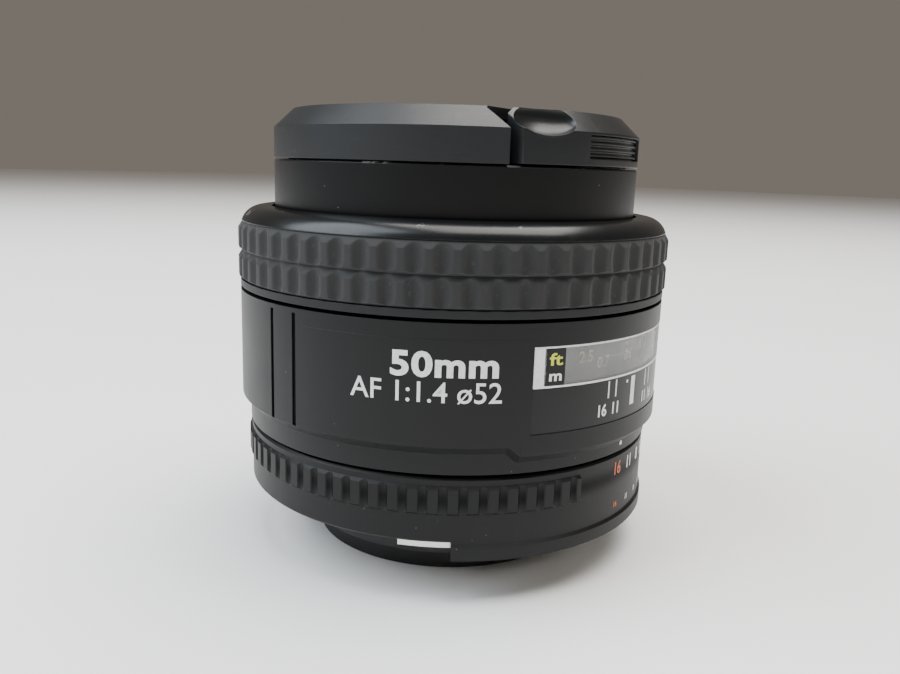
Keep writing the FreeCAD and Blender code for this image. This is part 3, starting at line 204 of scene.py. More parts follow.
class Recipe:
    """One material's node tree, filled by one node-making method."""

    def __init__(self, name: str) -> None:
        """Start an empty material with a principled surface."""
        self.material = bpy.data.materials.new(name)
        self.material.use_nodes = True
        self.tree = self.material.node_tree
        self.tree.nodes.clear()
        self._place: Optional[Field] = None

    def node(
        self, kind: str, settings: dict[str, Any], inputs: dict[Any, Any], output: Any = 0
    ) -> Field:
        """Make a node.

        Args:
            kind: The node's type.
            settings: Its properties, which are set first.
            inputs: Values or fields for its sockets, by name or number.
            output: Name or number of the socket to return.

        Returns:
            The chosen output.
        """
        made = self.tree.nodes.new(kind)
        for key, value in settings.items():
            setattr(made, key, value)
        for key, value in inputs.items():
            if isinstance(value, Field):
                self.tree.links.new(value.socket, made.inputs[key])
            else:
                made.inputs[key].default_value = value
        socket = made.outputs[output] if made.outputs else None
        return Field(self, socket)

    @property
    def place(self) -> Field:
        """Object coordinates, which are metres in the frame."""
        if self._place is None:
            self._place = self.node("ShaderNodeTexCoord", {}, {}, "Object")
        return self._place

    def axis(self, which: str) -> Field:
        """One object coordinate, "X", "Y" or "Z"."""
        return self.node("ShaderNodeSeparateXYZ", {}, {0: self.place}, which)

    def radius(self) -> Field:
        """Distance from the optical axis."""
        x, y = self.axis("X"), self.axis("Y")
        return (x * x + y * y).math("SQRT")

    def azimuth(self) -> Field:
        """Azimuth round the optical axis in degrees, from -180 to 180."""
        return self.axis("X").math("ARCTAN2", -1.0 * self.axis("Y")) * math.degrees(1.0)

    def noise(
        self, scale: float, detail: float = 3.0, rough: float = 0.55,
        stretch: tuple[float, float, float] = (1.0, 1.0, 1.0), shift: float = 0.0,
    ) -> Field:
        """Fractal noise in object space.

        Args:
            scale: Repeats in a metre.
            detail: Octaves.
            rough: Strength of the fine octaves.
            stretch: Scale of the pattern along each axis.
            shift: Moves the pattern so that two layers differ.

        Returns:
            Noise about 0.5.
        """
        where = self.node(
            "ShaderNodeMapping", {}, {0: self.place, 1: (shift, shift, shift), 3: stretch}
        )
        return self.node(
            "ShaderNodeTexNoise", {},
            {"Vector": where, "Scale": scale, "Detail": detail, "Roughness": rough},
        )

    def cells(self, scale: float) -> Field:
        """Distance to the nearest of scattered points."""
        return self.node(
            "ShaderNodeTexVoronoi", {}, {"Vector": self.place, "Scale": scale}, "Distance"
        )

    def mix(self, factor: Value, first: Union[Field, Colour], second: Union[Field, Colour]) -> Field:
        """Blend two colours.

        Args:
            factor: 0 for the first, 1 for the second.
            first: A colour.
            second: Another colour.

        Returns:
            The blended colour.
        """
        return self.node(
            "ShaderNodeMix", {"data_type": "RGBA"}, {0: factor, 6: first, 7: second}, 2
        )

    def soft_edges(self, width: float) -> Field:
        """Normal that rounds sharp edges by a width in metres."""
        return self.node("ShaderNodeBevel", {"samples": 4}, {"Radius": width})

    def bump(self, height: Field, depth: float, normal: Optional[Field] = None) -> Field:
        """Relief from a height field.

        Args:
            height: Field from 0 to 1.
            depth: Relief depth in metres.
            normal: Normal to build on.

        Returns:
            The new normal.
        """
        inputs: dict[Any, Any] = {"Strength": 1.0, "Distance": depth, "Height": height}
        if normal is not None:
            inputs["Normal"] = normal
        return self.node("ShaderNodeBump", {}, inputs)

    def surface(self, **sockets: Any) -> bpy.types.Material:
        """Finish the material with a principled surface.

        Args:
            sockets: Values or fields for the shader, spaces written as underscores.

        Returns:
            The material.
        """
        inputs = {key.replace("_", " "): value for key, value in sockets.items()}
        shader = self.node("ShaderNodeBsdfPrincipled", {}, inputs)
        self.node("ShaderNodeOutputMaterial", {}, {"Surface": shader})
        return self.material


def grey(level: float, warmth: float = 0.0) -> Colour:
    """A grey with a slight warm or cool cast."""
    return (level * (1 + warmth), level, level * (1 - warmth), 1.0)


# ---------------------------------------------------------------------------
# Finishes
# ---------------------------------------------------------------------------


@dataclass(frozen=True)
class Moulded:
    """Black moulded or satin painted plastic with fine grain, handling marks and dust."""

    name: str
    tone: float = 0.022
    rough: float = 0.42
    grain: float = 2600.0
    grain_depth: float = 0.012 * MM
    edge: float = 0.12 * MM
    wear: float = 0.25
    dust: float = 0.5
    coat: float = 0.0
    coat_rough: float = 0.12
    warmth: float = -0.03
    specular: float = 0.5
    matt_below: Optional[float] = None
    grooves: Optional[tuple[float, float, float]] = None
    chips: Optional[tuple[float, float]] = None

    def build(self) -> bpy.types.Material:
        """Make the material."""
        recipe = Recipe(self.name)
        grain = recipe.noise(self.grain, 2.0, 0.6)
        cloud = recipe.noise(70.0, 4.0, 0.6, shift=0.3)
        rubbed = recipe.noise(420.0, 5.0, 0.65, (1.0, 1.0, 0.25), 0.7).ramp(0.52, 0.75)
        scratch = recipe.noise(900.0, 2.0, 0.5, (0.08, 0.08, 1.6), 1.9).ramp(0.66, 0.72)
        speck = recipe.cells(620.0).ramp(0.075, 0.03) * recipe.noise(160.0, 1.0).ramp(0.56, 0.62)
        base = recipe.mix(
            cloud, grey(self.tone * 0.86, self.warmth), grey(self.tone * 1.16, self.warmth)
        )
        base = recipe.mix(rubbed * (0.35 * self.wear), base, grey(self.tone * 2.6, self.warmth))
        base = recipe.mix(scratch * (0.25 * self.wear), base, grey(self.tone * 4.0))
        base = recipe.mix(speck * self.dust, base, grey(0.24, 0.05))
        rough = self.rough + (cloud - 0.5) * 0.16 + rubbed * (-0.10 * self.wear) + speck * 0.3
        if self.chips is not None:
            height, spread = self.chips
            edge = recipe.axis("Z").band(height, spread)
            bare = recipe.noise(230.0, 4.0, 0.7, shift=4.2).ramp(0.60, 0.64) * edge
            base = recipe.mix(bare * 0.75, base, grey(0.20, 0.02))
            rough = rough + bare * 0.12
        if self.matt_below is not None:
            rough = rough + recipe.axis("Z").ramp(self.matt_below, self.matt_below - 0.2 * MM) * 0.3
        coat: Value = self.coat
        # Painted shade: the coat is taken off inside the grooves so that they read darker than the rib
        # tops.
        if self.grooves is not None:
            low, high, depth = self.grooves
            inside = recipe.axis("Z").band((low + high) / 2, (high - low) / 2)
            inside = inside * recipe.radius().ramp(depth + 0.08 * MM, depth)
            coat = self.coat * (1.0 - inside)
        normal = recipe.soft_edges(self.edge) if self.edge else None
        normal = recipe.bump(grain + scratch * -0.6 * self.wear, self.grain_depth, normal)
        return recipe.surface(
            Base_Color=base, Roughness=rough, Normal=normal, Coat_Weight=coat,
            Coat_Roughness=self.coat_rough, IOR=1.5, Specular_IOR_Level=self.specular,
        )


@dataclass(frozen=True)
class GripRubber:
    """Matte grey-black rubber with a fine skin, paler where dust has settled low."""

    name: str = "grip_rubber"
    tone: float = 0.015
    rough: float = 0.70
    floor_radius: float = 31.5 * MM
    top_radius: float = 32.2 * MM

    def build(self) -> bpy.types.Material:
        """Make the material."""
        recipe = Recipe(self.name)
        skin = recipe.noise(3200.0, 3.0, 0.7)
        cloud = recipe.noise(90.0, 4.0, 0.6, shift=0.5)
        lint = recipe.noise(1500.0, 4.0, 0.7, shift=2.0).ramp(0.56, 0.74)
        low = recipe.radius().ramp(self.top_radius, self.floor_radius)
        base = recipe.mix(cloud, grey(self.tone * 0.85, -0.02), grey(self.tone * 1.25, -0.02))
        base = recipe.mix(lint * (0.10 + low * 0.22), base, grey(0.12, 0.04))
        rough = self.rough + (cloud - 0.5) * 0.14 + lint * 0.1
        normal = recipe.bump(skin, 0.02 * MM, recipe.soft_edges(0.06 * MM))
        return recipe.surface(
            Base_Color=base, Roughness=rough, Normal=normal, Sheen_Weight=0.05,
            Sheen_Roughness=0.5, IOR=1.45,
        )


class Cut(Enum):
    """Marks that a machine leaves on metal."""

    TURNED = "turned"
    CAST = "cast"
    DRAWN = "drawn"


@dataclass(frozen=True)
class Machined:
    """Bare or plated metal with its tool marks, stains and small scratches."""

    name: str
    colour: Colour
    rough: float = 0.28
    cut: Cut = Cut.TURNED
    pitch: float = 0.12 * MM
    cut_depth: float = 0.006 * MM
    stain: float = 0.3
    metallic: float = 1.0
    edge: float = 0.10 * MM
    # Radius inside which painted shade turns the metal black; 0 leaves it bare.
    painted_shade_within: float = 0.0

    def build(self) -> bpy.types.Material:
        """Make the material; inside a radius, painted shade turns the metal black where the mount's tube
        sits in shadow under the lens.
        """
        recipe = Recipe(self.name)
        cloud = recipe.noise(110.0, 4.0, 0.6)
        nicks = recipe.noise(700.0, 3.0, 0.6, (0.12, 1.3, 1.0), 1.1).ramp(0.64, 0.70)
        if self.cut is Cut.TURNED:
            across = recipe.radius() + recipe.axis("Z")
            phase = across * (math.tau / self.pitch) + recipe.noise(500.0, 2.0) * 5.0
            marks = phase.math("SINE") * 0.5 + 0.5
        elif self.cut is Cut.DRAWN:
            marks = recipe.noise(2600.0, 2.0, 0.5, (1.0, 1.0, 0.05))
        else:
            marks = recipe.noise(1900.0, 4.0, 0.7)
        dark = tuple(part * 0.62 for part in self.colour[:3]) + (1.0,)
        base = recipe.mix(cloud.ramp(0.45, 0.72) * self.stain, self.colour, dark)
        base = recipe.mix(nicks * 0.35, base, tuple(min(1.0, c * 1.25) for c in self.colour[:3]) + (1.0,))
        rough = self.rough + (cloud - 0.5) * 0.14 + marks * 0.06 + nicks * 0.15
        normal = recipe.bump(marks - nicks * 0.6, self.cut_depth, recipe.soft_edges(self.edge))
        metallic: Value = self.metallic
        # Painted shade: inside the radius the metal is made black, less metallic and matt, standing in for
        # the shadow under the lens.
        if self.painted_shade_within:
            black = recipe.radius().ramp(self.painted_shade_within + 0.1 * MM, self.painted_shade_within)
            base = recipe.mix(black, base, grey(0.02))
            metallic = self.metallic * (1.0 - black * 0.8)
            rough = rough + black * 0.2
        return recipe.surface(
            Base_Color=base, Roughness=rough, Metallic=metallic, Normal=normal
        )


@dataclass(frozen=True)
class Threaded:
    """Black anodised metal cut with fine rings, with grease in the grooves."""

    name: str
    pitch: float = 0.75 * MM
    tone: float = 0.03
    depth: float = 0.18 * MM

    def build(self) -> bpy.types.Material:
        """Make the material."""
        recipe = Recipe(self.name)
        turn = recipe.azimuth() * (math.pi / 180.0)
        phase = recipe.axis("Z") * (math.tau / self.pitch) + turn
        wave = phase.math("SINE") * 0.5 + 0.5
        cloud = recipe.noise(160.0, 4.0, 0.6)
        base = recipe.mix(wave, grey(self.tone * 0.5), grey(self.tone * 1.5))
        base = recipe.mix(cloud.ramp(0.5, 0.7) * 0.3, base, grey(0.09, 0.2))
        rough = 0.5 - wave * 0.18 + (cloud - 0.5) * 0.2
        normal = recipe.bump(wave, self.depth)
        return recipe.surface(Base_Color=base, Roughness=rough, Metallic=0.55, Normal=normal)


@dataclass(frozen=True)
class CoatedGlass:
    """Optical glass with an interference coating and a little dust."""

    name: str
    film: float = 380.0
    tint: Colour = (0.96, 1.0, 0.98, 1.0)

    def build(self) -> bpy.types.Material:
        """Make the material."""
        recipe = Recipe(self.name)
        speck = recipe.cells(520.0).ramp(0.07, 0.03) * recipe.noise(140.0, 1.0).ramp(0.55, 0.62)
        cloud = recipe.noise(60.0, 3.0)
        base = recipe.mix(speck * 0.5, self.tint, grey(0.6))
        rough = 0.01 + cloud * 0.03 + speck * 0.4
        return recipe.surface(
            Base_Color=base, Roughness=rough, Transmission_Weight=1.0, IOR=1.6,
            Thin_Film_Thickness=self.film, Thin_Film_IOR=1.38,
        )


@dataclass(frozen=True)
class ClearCover:
    """Clear plastic of the distance window, finely scratched, with a grey film that is partly haze and
    partly painted reflection.
    """

    name: str = "window_clear"

    def build(self) -> bpy.types.Material:
        """Make the material."""
        recipe = Recipe(self.name)
        haze = recipe.noise(240.0, 4.0, 0.6)
        hair = recipe.noise(900.0, 2.0, 0.5, (0.1, 0.1, 1.8), 0.8).ramp(0.64, 0.70)
        # The grey base shown through the partial alpha is partly haze and partly a painted reflection on
        # the window.
        base = recipe.mix(haze, grey(0.34), grey(0.45))
        rough = 0.10 + haze * 0.10 + hair * 0.2
        alpha = 0.22 + haze * 0.10 + hair * 0.12
        normal = recipe.bump(haze, 0.01 * MM)
        return recipe.surface(
            Base_Color=base, Roughness=rough, Alpha=alpha, Normal=normal,
            Coat_Weight=1.0, Coat_Roughness=0.06, IOR=1.5,
        )


@dataclass(frozen=True)
class Ink:
    """Filled lettering paint, worn slightly uneven."""

    name: str
    colour: Colour
    rough: float = 0.5

    def build(self) -> bpy.types.Material:
        """Make the material."""
        recipe = Recipe(self.name)
        worn = recipe.noise(1400.0, 4.0, 0.7)
        cloud = recipe.noise(260.0, 2.0, shift=0.4)
        dull = tuple(part * 0.72 for part in self.colour[:3]) + (1.0,)
        base = recipe.mix(worn.ramp(0.42, 0.70) * 0.6, self.colour, dull)
        rough = self.rough + (cloud - 0.5) * 0.2
        return recipe.surface(
            Base_Color=base, Roughness=rough, Normal=recipe.bump(worn, 0.008 * MM)
        )


@dataclass(frozen=True)
class Tabletop:
    """Pale matt tabletop with very faint mottling."""

    name: str = "tabletop"
    tone: float = 0.95

    def build(self) -> bpy.types.Material:
        """Make the material."""
        recipe = Recipe(self.name)
        mottle = recipe.noise(9.0, 5.0, 0.6)
        fine = recipe.noise(600.0, 3.0, 0.6)
        base = recipe.mix(mottle, grey(self.tone, 0.012), grey(self.tone * 1.06, 0.006))
        rough = 0.55 + (fine - 0.5) * 0.15
        return recipe.surface(
            Base_Color=base, Roughness=rough, Normal=recipe.bump(fine, 0.004 * MM)
        )


class Palette:
    """Every material of the lens, each made once when first asked for."""

    FINISHES: dict[str, Any] = {
        finish.name: finish
        for finish in (
            Moulded("body_plastic", tone=0.007, rough=0.42, wear=0.2, dust=0.45, specular=0.22),
            Moulded("ring_plastic", tone=0.006, rough=0.25, specular=0.34, warmth=-0.12,
                    matt_below=40.0 * MM, grain_depth=0.004 * MM,
                    edge=0.18 * MM, chips=(48.55 * MM, 0.7 * MM)),
            GripRubber(),
            # aperture_plastic's grooves lose their coat as painted shade.
            Moulded("aperture_plastic", tone=0.005, rough=0.5, wear=0.5, dust=0.4, specular=0.08,
                    coat=0.30, coat_rough=0.42, grooves=(12.5 * MM, 16.4 * MM, 30.88 * MM)),
            Moulded("barrel_plastic", tone=0.003, rough=0.36, wear=0.15, dust=0.7, specular=0.22,
                    grain_depth=0.005 * MM, chips=(55.9 * MM, 0.25 * MM)),
            Moulded("cap_plastic", tone=0.009, rough=0.42, wear=0.55, dust=0.5, warmth=-0.14,
                    specular=0.42),
            Moulded("clip_plastic", tone=0.008, rough=0.34, wear=0.6, dust=0.5, warmth=-0.14,
                    specular=0.4),
            Moulded("trim_plastic", tone=0.014, rough=0.34, dust=0.5),
            Moulded("inner_black", tone=0.008, rough=0.62, grain=1500.0, grain_depth=0.03 * MM,
                    dust=0.3, wear=0.1),
            Moulded("cell_black", tone=0.010, rough=0.48, dust=0.15, wear=0.1),
            Moulded("panel_black", tone=0.006, rough=0.33, specular=0.25, wear=0.2, dust=0.4,
                    grain_depth=0.005 * MM),
            Moulded("scale_black", tone=0.05, rough=0.45, dust=0.1, wear=0.1),
            Moulded("lock_plastic", tone=0.35, rough=0.42, warmth=0.35, dust=0.2),
            Moulded("gear_plastic", tone=0.55, rough=0.5, warmth=0.03, dust=0.1, wear=0.1),
            # The mount's tube inside 22.3 mm carries painted shade for the shadow under the lens.
            Machined("mount_metal", (0.62, 0.61, 0.58, 1.0), rough=0.22,
                     painted_shade_within=22.3 * MM),
            Machined("chassis_metal", (0.10, 0.10, 0.105, 1.0), rough=0.45, cut=Cut.CAST,
                     metallic=0.8),
            Machined("screw_steel", (0.55, 0.54, 0.52, 1.0), rough=0.25, stain=0.5),
            Machined("spring_steel", (0.50, 0.50, 0.52, 1.0), rough=0.24, cut=Cut.DRAWN),
            Machined("shaft_steel", (0.48, 0.47, 0.46, 1.0), rough=0.3),
            Machined("contact_gold", (0.83, 0.60, 0.26, 1.0), rough=0.2, stain=0.25),
            Machined("blade_steel", (0.055, 0.056, 0.06, 1.0), rough=0.4, cut=Cut.DRAWN,
                     metallic=0.7),
            Machined("bright_edge", (0.75, 0.75, 0.76, 1.0), rough=0.3, stain=0.1),
            Threaded("helicoid_metal"),
            Threaded("thread_black", depth=0.05 * MM, tone=0.02),
            CoatedGlass("lens_glass", film=430.0),
            CoatedGlass("lens_glass_amber", film=300.0, tint=(1.0, 0.985, 0.95, 1.0)),
            ClearCover(),
            Ink("ink_white", grey(0.80, 0.0)),
            Ink("ink_orange", (0.56, 0.12, 0.045, 1.0)),
            Ink("ink_yellow", (0.62, 0.66, 0.06, 1.0)),
            Ink("ink_grey", grey(0.35, 0.0)),
            Ink("ink_olive", (0.62, 0.62, 0.22, 1.0)),
            Tabletop(),
        )
    }

    def __init__(self) -> None:
        """Start with nothing made."""
        self._made: dict[str, bpy.types.Material] = {}

    def __getitem__(self, name: str) -> bpy.types.Material:
        """The material of that name."""
        if name not in self._made:
            self._made[name] = self.FINISHES[name].build()
        return self._made[name]


# ---------------------------------------------------------------------------
# Mesh making
# ---------------------------------------------------------------------------


def sharp_edges(shape: bmesh.types.BMesh, limit: float) -> list[bmesh.types.BMEdge]:
    """Edges whose two faces meet at more than an angle in degrees."""
    return [
        edge for edge in shape.edges
        if edge.is_manifold and edge.calc_face_angle(0.0) > math.radians(limit)
    ]


def round_off(shape: bmesh.types.BMesh, width: float, segments: int = 2, limit: float = 30.0) -> None:
    """Bevel the sharp edges of a shape.

    Args:
        shape: The shape to change.
        width: Bevel width in metres.
        segments: Steps across the bevel.
        limit: Edges flatter than this angle are left.
    """
    bmesh.ops.bevel(
        shape, geom=sharp_edges(shape, limit), offset=width, offset_type="OFFSET",
        segments=segments, profile=0.5, affect="EDGES", clamp_overlap=True, material=-1,
    )


def settle(shape: bmesh.types.BMesh, gap: float = 0.002 * MM) -> None:
    """Merge doubles, then point every face outwards."""
    bmesh.ops.remove_doubles(shape, verts=shape.verts, dist=gap)
    bmesh.ops.recalc_face_normals(shape, faces=shape.faces)


def turned(
    outline: Sequence[Point], steps: int = 192, start: float = 0.0, sweep: float = AROUND,
) -> bmesh.types.BMesh:
    """Shape made by turning an outline round the optical axis.

    Args:
        outline: Radius and height of each corner in millimetres.
        steps: Steps of the turn.
        start: Azimuth where the turn starts.
        sweep: Angle of the turn in degrees.

    Returns:
        The shape, with its ends closed.
    """
    shape = bmesh.new()
    corners = [
        shape.verts.new(degrees_to_point(radius * MM, start, height * MM))
        for radius, height in outline
    ]
    edges = [shape.edges.new(pair) for pair in zip(corners, corners[1:])]
    edges.append(shape.edges.new((corners[-1], corners[0])))
    whole = sweep >= AROUND
    bmesh.ops.spin(
        shape, geom=corners + edges, angle=math.radians(sweep), steps=steps,
        axis=(0.0, 0.0, 1.0), cent=(0.0, 0.0, 0.0), use_merge=whole,
    )
    bmesh.ops.remove_doubles(shape, verts=shape.verts, dist=0.002 * MM)
    if not whole:
        bmesh.ops.holes_fill(
            shape, edges=[edge for edge in shape.edges if edge.is_boundary], sides=0
        )
    bmesh.ops.recalc_face_normals(shape, faces=shape.faces)
    return shape


def block_outline(inner: float, outer: float, low: float, high: float) -> list[Point]:
    """Outline of a plain ring, in millimetres."""
    return [(inner, low), (outer, low), (outer, high), (inner, high)]


def joined(*shapes: bmesh.types.BMesh) -> bmesh.types.BMesh:
    """One shape from several, which are freed."""
    whole = bmesh.new()
    for shape in shapes:
        mesh = bpy.data.meshes.new("part")
        shape.to_mesh(mesh)
        shape.free()
        whole.from_mesh(mesh)
        bpy.data.meshes.remove(mesh)
    return whole


def moved(shape: bmesh.types.BMesh, matrix: Matrix) -> bmesh.types.BMesh:
    """The shape after a transform."""
    bmesh.ops.transform(shape, matrix=matrix, verts=shape.verts)
    return shape


def placed(radius: float, azimuth: float, height: float) -> Matrix:
    """Transform that carries local X outwards at a place, with Z up; millimetres in."""
    turn = Matrix.Rotation(math.radians(azimuth - 90.0), 4, "Z")
    return Matrix.Translation(degrees_to_point(radius * MM, azimuth, height * MM)) @ turn


def coil(radius: float, wire: float, length: float, turns: float) -> bmesh.types.BMesh:
    """Coil spring along +X from the origin.

    Args:
        radius: Middle radius of the coil in millimetres.
        wire: Wire radius in millimetres.
        length: Length in millimetres.
        turns: Number of turns.

    Returns:
        The spring, with closed ends.
    """
    shape = bmesh.new()
    bmesh.ops.create_circle(shape, cap_ends=False, segments=8, radius=wire * MM)
    stand = Matrix.Translation((wire * MM, radius * MM, 0.0)) @ Matrix.Rotation(0.0, 4, "Y")
    bmesh.ops.transform(shape, matrix=stand, verts=shape.verts)
    steps = int(turns * 20)
    advance = (length - 2 * wire) * MM / steps
    bmesh.ops.spin(
        shape, geom=list(shape.verts) + list(shape.edges), angle=math.tau * turns,
        steps=steps, axis=(1.0, 0.0, 0.0), cent=(0.0, 0.0, 0.0), dvec=(advance, 0.0, 0.0),
        use_merge=False,
    )
    bmesh.ops.holes_fill(shape, edges=[e for e in shape.edges if e.is_boundary], sides=0)
    bmesh.ops.recalc_face_normals(shape, faces=shape.faces)
    return shape


def carved(shape: bmesh.types.BMesh, *cutters: bmesh.types.BMesh) -> bmesh.types.BMesh:
    """Take cutters away from a shape.

    Args:
        shape: The shape to cut; it is freed.
        cutters: Closed shapes to remove; they are freed.

    Returns:
        What is left.
    """
    holders = []
    for item in (shape, *cutters):
        mesh = bpy.data.meshes.new("carving")
        item.to_mesh(mesh)
        item.free()
        holder = bpy.data.objects.new("carving", mesh)
        bpy.context.scene.collection.objects.link(holder)
        holders.append(holder)
    body = holders[0]
    for cutter in holders[1:]:
        modifier = body.modifiers.new("carve", "BOOLEAN")
        modifier.operation = "DIFFERENCE"
        modifier.solver = "EXACT"
        modifier.object = cutter
    bpy.context.view_layer.update()
    evaluated = body.evaluated_get(bpy.context.evaluated_depsgraph_get())
    mesh = bpy.data.meshes.new_from_object(evaluated)
    left = bmesh.new()
    left.from_mesh(mesh)
    bpy.data.meshes.remove(mesh)
    for holder in holders:
        data = holder.data
        bpy.data.objects.remove(holder)
        bpy.data.meshes.remove(data)
    return left


class Workshop:
    """Makes finished pieces and dresses CAD nodes."""

    def __init__(self, frame: dict[str, Any]) -> None:
        """Keep the frame and start an empty palette."""
        self.frame = frame
        self.palette = Palette()

    def dress(self, finish: str, *nodes: str) -> None:
        """Give CAD nodes a finish.

        Args:
            finish: Name of the finish.
            nodes: CAD nodes that take it.
        """
        for node in nodes:
            for holder in self.frame["nodes"][node].material_slots:
                holder.material = self.palette[finish]
            LOG.info("dressed %s in %s", node, finish)

    def piece(
        self, name: str, shape: bmesh.types.BMesh, finish: str, body: str,
        stands_for: Iterable[str] = (), smooth: float = 32.0,
        weighted: bool = True,
    ) -> bpy.types.Object:
        """Turn a shape into a finished piece that rides a body.

        Args:
            name: Name of the piece.
            shape: Its shape in metres; it is freed.
            finish: Name of its finish.
            body: CAD body that carries it.
            stands_for: CAD nodes that it replaces.
            smooth: Edges sharper than this angle stay hard.
            weighted: Whether large faces rule the shading.

        Returns:
            The piece.
        """
        mesh = bpy.data.meshes.new(name)
        shape.to_mesh(mesh)
        shape.free()
        mesh.polygons.foreach_set("use_smooth", [True] * len(mesh.polygons))
        mesh.set_sharp_from_angle(angle=math.radians(smooth))
        mesh.materials.append(self.palette[finish])
        made = bpy.data.objects.new(name, mesh)
        bpy.context.scene.collection.objects.link(made)
        if weighted:
            modifier = made.modifiers.new("weighted", "WEIGHTED_NORMAL")
            modifier.keep_sharp = True
        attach(made, body)
        if stands_for:
            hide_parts(*stands_for)
        LOG.info("made %s for %s, %d faces", name, body, len(mesh.polygons))
        return made


@dataclass(frozen=True)
class Lettering:
    """Printed characters wrapped round the lens or laid on its front."""

    text: str
    height: float
    bold: float = 0.0
    width: float = 1.0
    spacing: float = 1.0
    sink: float = 0.03

    def shape(self) -> bmesh.types.BMesh:
        """Solid flat characters centred on the origin, in metres."""
        curve = bpy.data.curves.new("lettering", "FONT")
        curve.body = self.text
        curve.size = self.height / 0.72 * MM
        curve.align_x = "CENTER"
        curve.align_y = "CENTER"
        curve.offset = self.bold * MM
        curve.extrude = self.sink * MM
        curve.space_character = self.spacing
        curve.resolution_u = 4
        holder = bpy.data.objects.new("lettering", curve)
        mesh = bpy.data.meshes.new_from_object(holder)
        shape = bmesh.new()
        shape.from_mesh(mesh)
        bpy.data.objects.remove(holder)
        bpy.data.meshes.remove(mesh)
        bpy.data.curves.remove(curve)
        bmesh.ops.remove_doubles(shape, verts=shape.verts, dist=0.001 * MM)
        across = [vert.co.x for vert in shape.verts]
        up = [vert.co.y for vert in shape.verts]
        middle = Vector(((min(across) + max(across)) / 2, (min(up) + max(up)) / 2, 0.0))
        bmesh.ops.translate(shape, verts=shape.verts, vec=-middle)
        bmesh.ops.scale(shape, verts=shape.verts, vec=(self.width, 1.0, 1.0))
        return shape

    def slice(self, shape: bmesh.types.BMesh, step: float) -> None:
        """Divide long faces so that they can bend."""
        reach = max(abs(vert.co.x) for vert in shape.verts)
        count = int(reach * 2 / step)
        for number in range(1, count):
            at = -reach + reach * 2 * number / count
            bmesh.ops.bisect_plane(
                shape, geom=list(shape.verts) + list(shape.edges) + list(shape.faces),
                plane_co=(at, 0.0, 0.0), plane_no=(1.0, 0.0, 0.0),
            )

    def round_side(self, radius: float, azimuth: float, height: float) -> bmesh.types.BMesh:
        """Wrap the characters round the side of the lens.

        Args:
            radius: Radius of the printed surface in millimetres.
            azimuth: Azimuth of the middle of the text.
            height: Height of its middle in millimetres.

        Returns:
            The wrapped characters.
        """
        shape = self.shape()
        self.slice(shape, 0.8 * MM)
        for vert in shape.verts:
            turn = azimuth + math.degrees(vert.co.x / (radius * MM))
            vert.co = degrees_to_point(
                radius * MM + vert.co.z, turn, height * MM + vert.co.y
            )
        return shape

    def round_front(self, radius: float, azimuth: float, height: float) -> bmesh.types.BMesh:
        """Lay the characters on a ring that faces forwards, feet towards the axis.

        Args:
            radius: Radius of the middle of the text in millimetres.
            azimuth: Azimuth of the middle of the text.
            height: Height of the printed surface in millimetres.

        Returns:
            The bent characters.
        """
        shape = self.shape()
        self.slice(shape, 0.6 * MM)
        for vert in shape.verts:
            turn = azimuth + 180.0 - math.degrees(vert.co.x / (radius * MM))
            vert.co = degrees_to_point(
                radius * MM + vert.co.y, turn, height * MM + vert.co.z
            )
        return shape


def patch(
    radius: float, azimuth: float, height: float, wide: float, tall: float, proud: float = 0.03
) -> bmesh.types.BMesh:
    """Printed rectangle on the side of the lens.

    Args:
        radius: Radius of the surface in millimetres.
        azimuth: Azimuth of its middle.
        height: Height of its middle in millimetres.
        wide: Angle that it covers in degrees.
        tall: Height in millimetres.
        proud: How far it stands out in millimetres.

    Returns:
        The patch as a thin closed shape.
    """
    outline = block_outline(
        radius - 0.03, radius + proud, height - tall / 2, height + tall / 2
    )
    steps = max(2, int(wide / 1.2))
    return turned(outline, steps, azimuth - wide / 2, wide)


def dot(radius: float, azimuth: float, height: float, size: float) -> bmesh.types.BMesh:
    """Round printed dot on the side of the lens, all in millimetres."""
    shape = bmesh.new()
    bmesh.ops.create_cone(
        shape, cap_ends=True, segments=20, radius1=size * MM, radius2=size * MM,
        depth=0.06 * MM, matrix=Matrix.Rotation(math.radians(90.0), 4, "Y"),
    )
    return moved(shape, placed(radius, azimuth, height))


def loop(radius: float, azimuth: float, height: float, size: float, line: float) -> bmesh.types.BMesh:
    """Round printed loop on the side of the lens, all in millimetres."""
    shape = turned(block_outline(size - line, size, -0.08, 0.04), 32)
    return moved(shape, placed(radius, azimuth, height) @ Matrix.Rotation(math.radians(90.0), 4, "Y"))


# ---------------------------------------------------------------------------
# Sub-assemblies
# ---------------------------------------------------------------------------


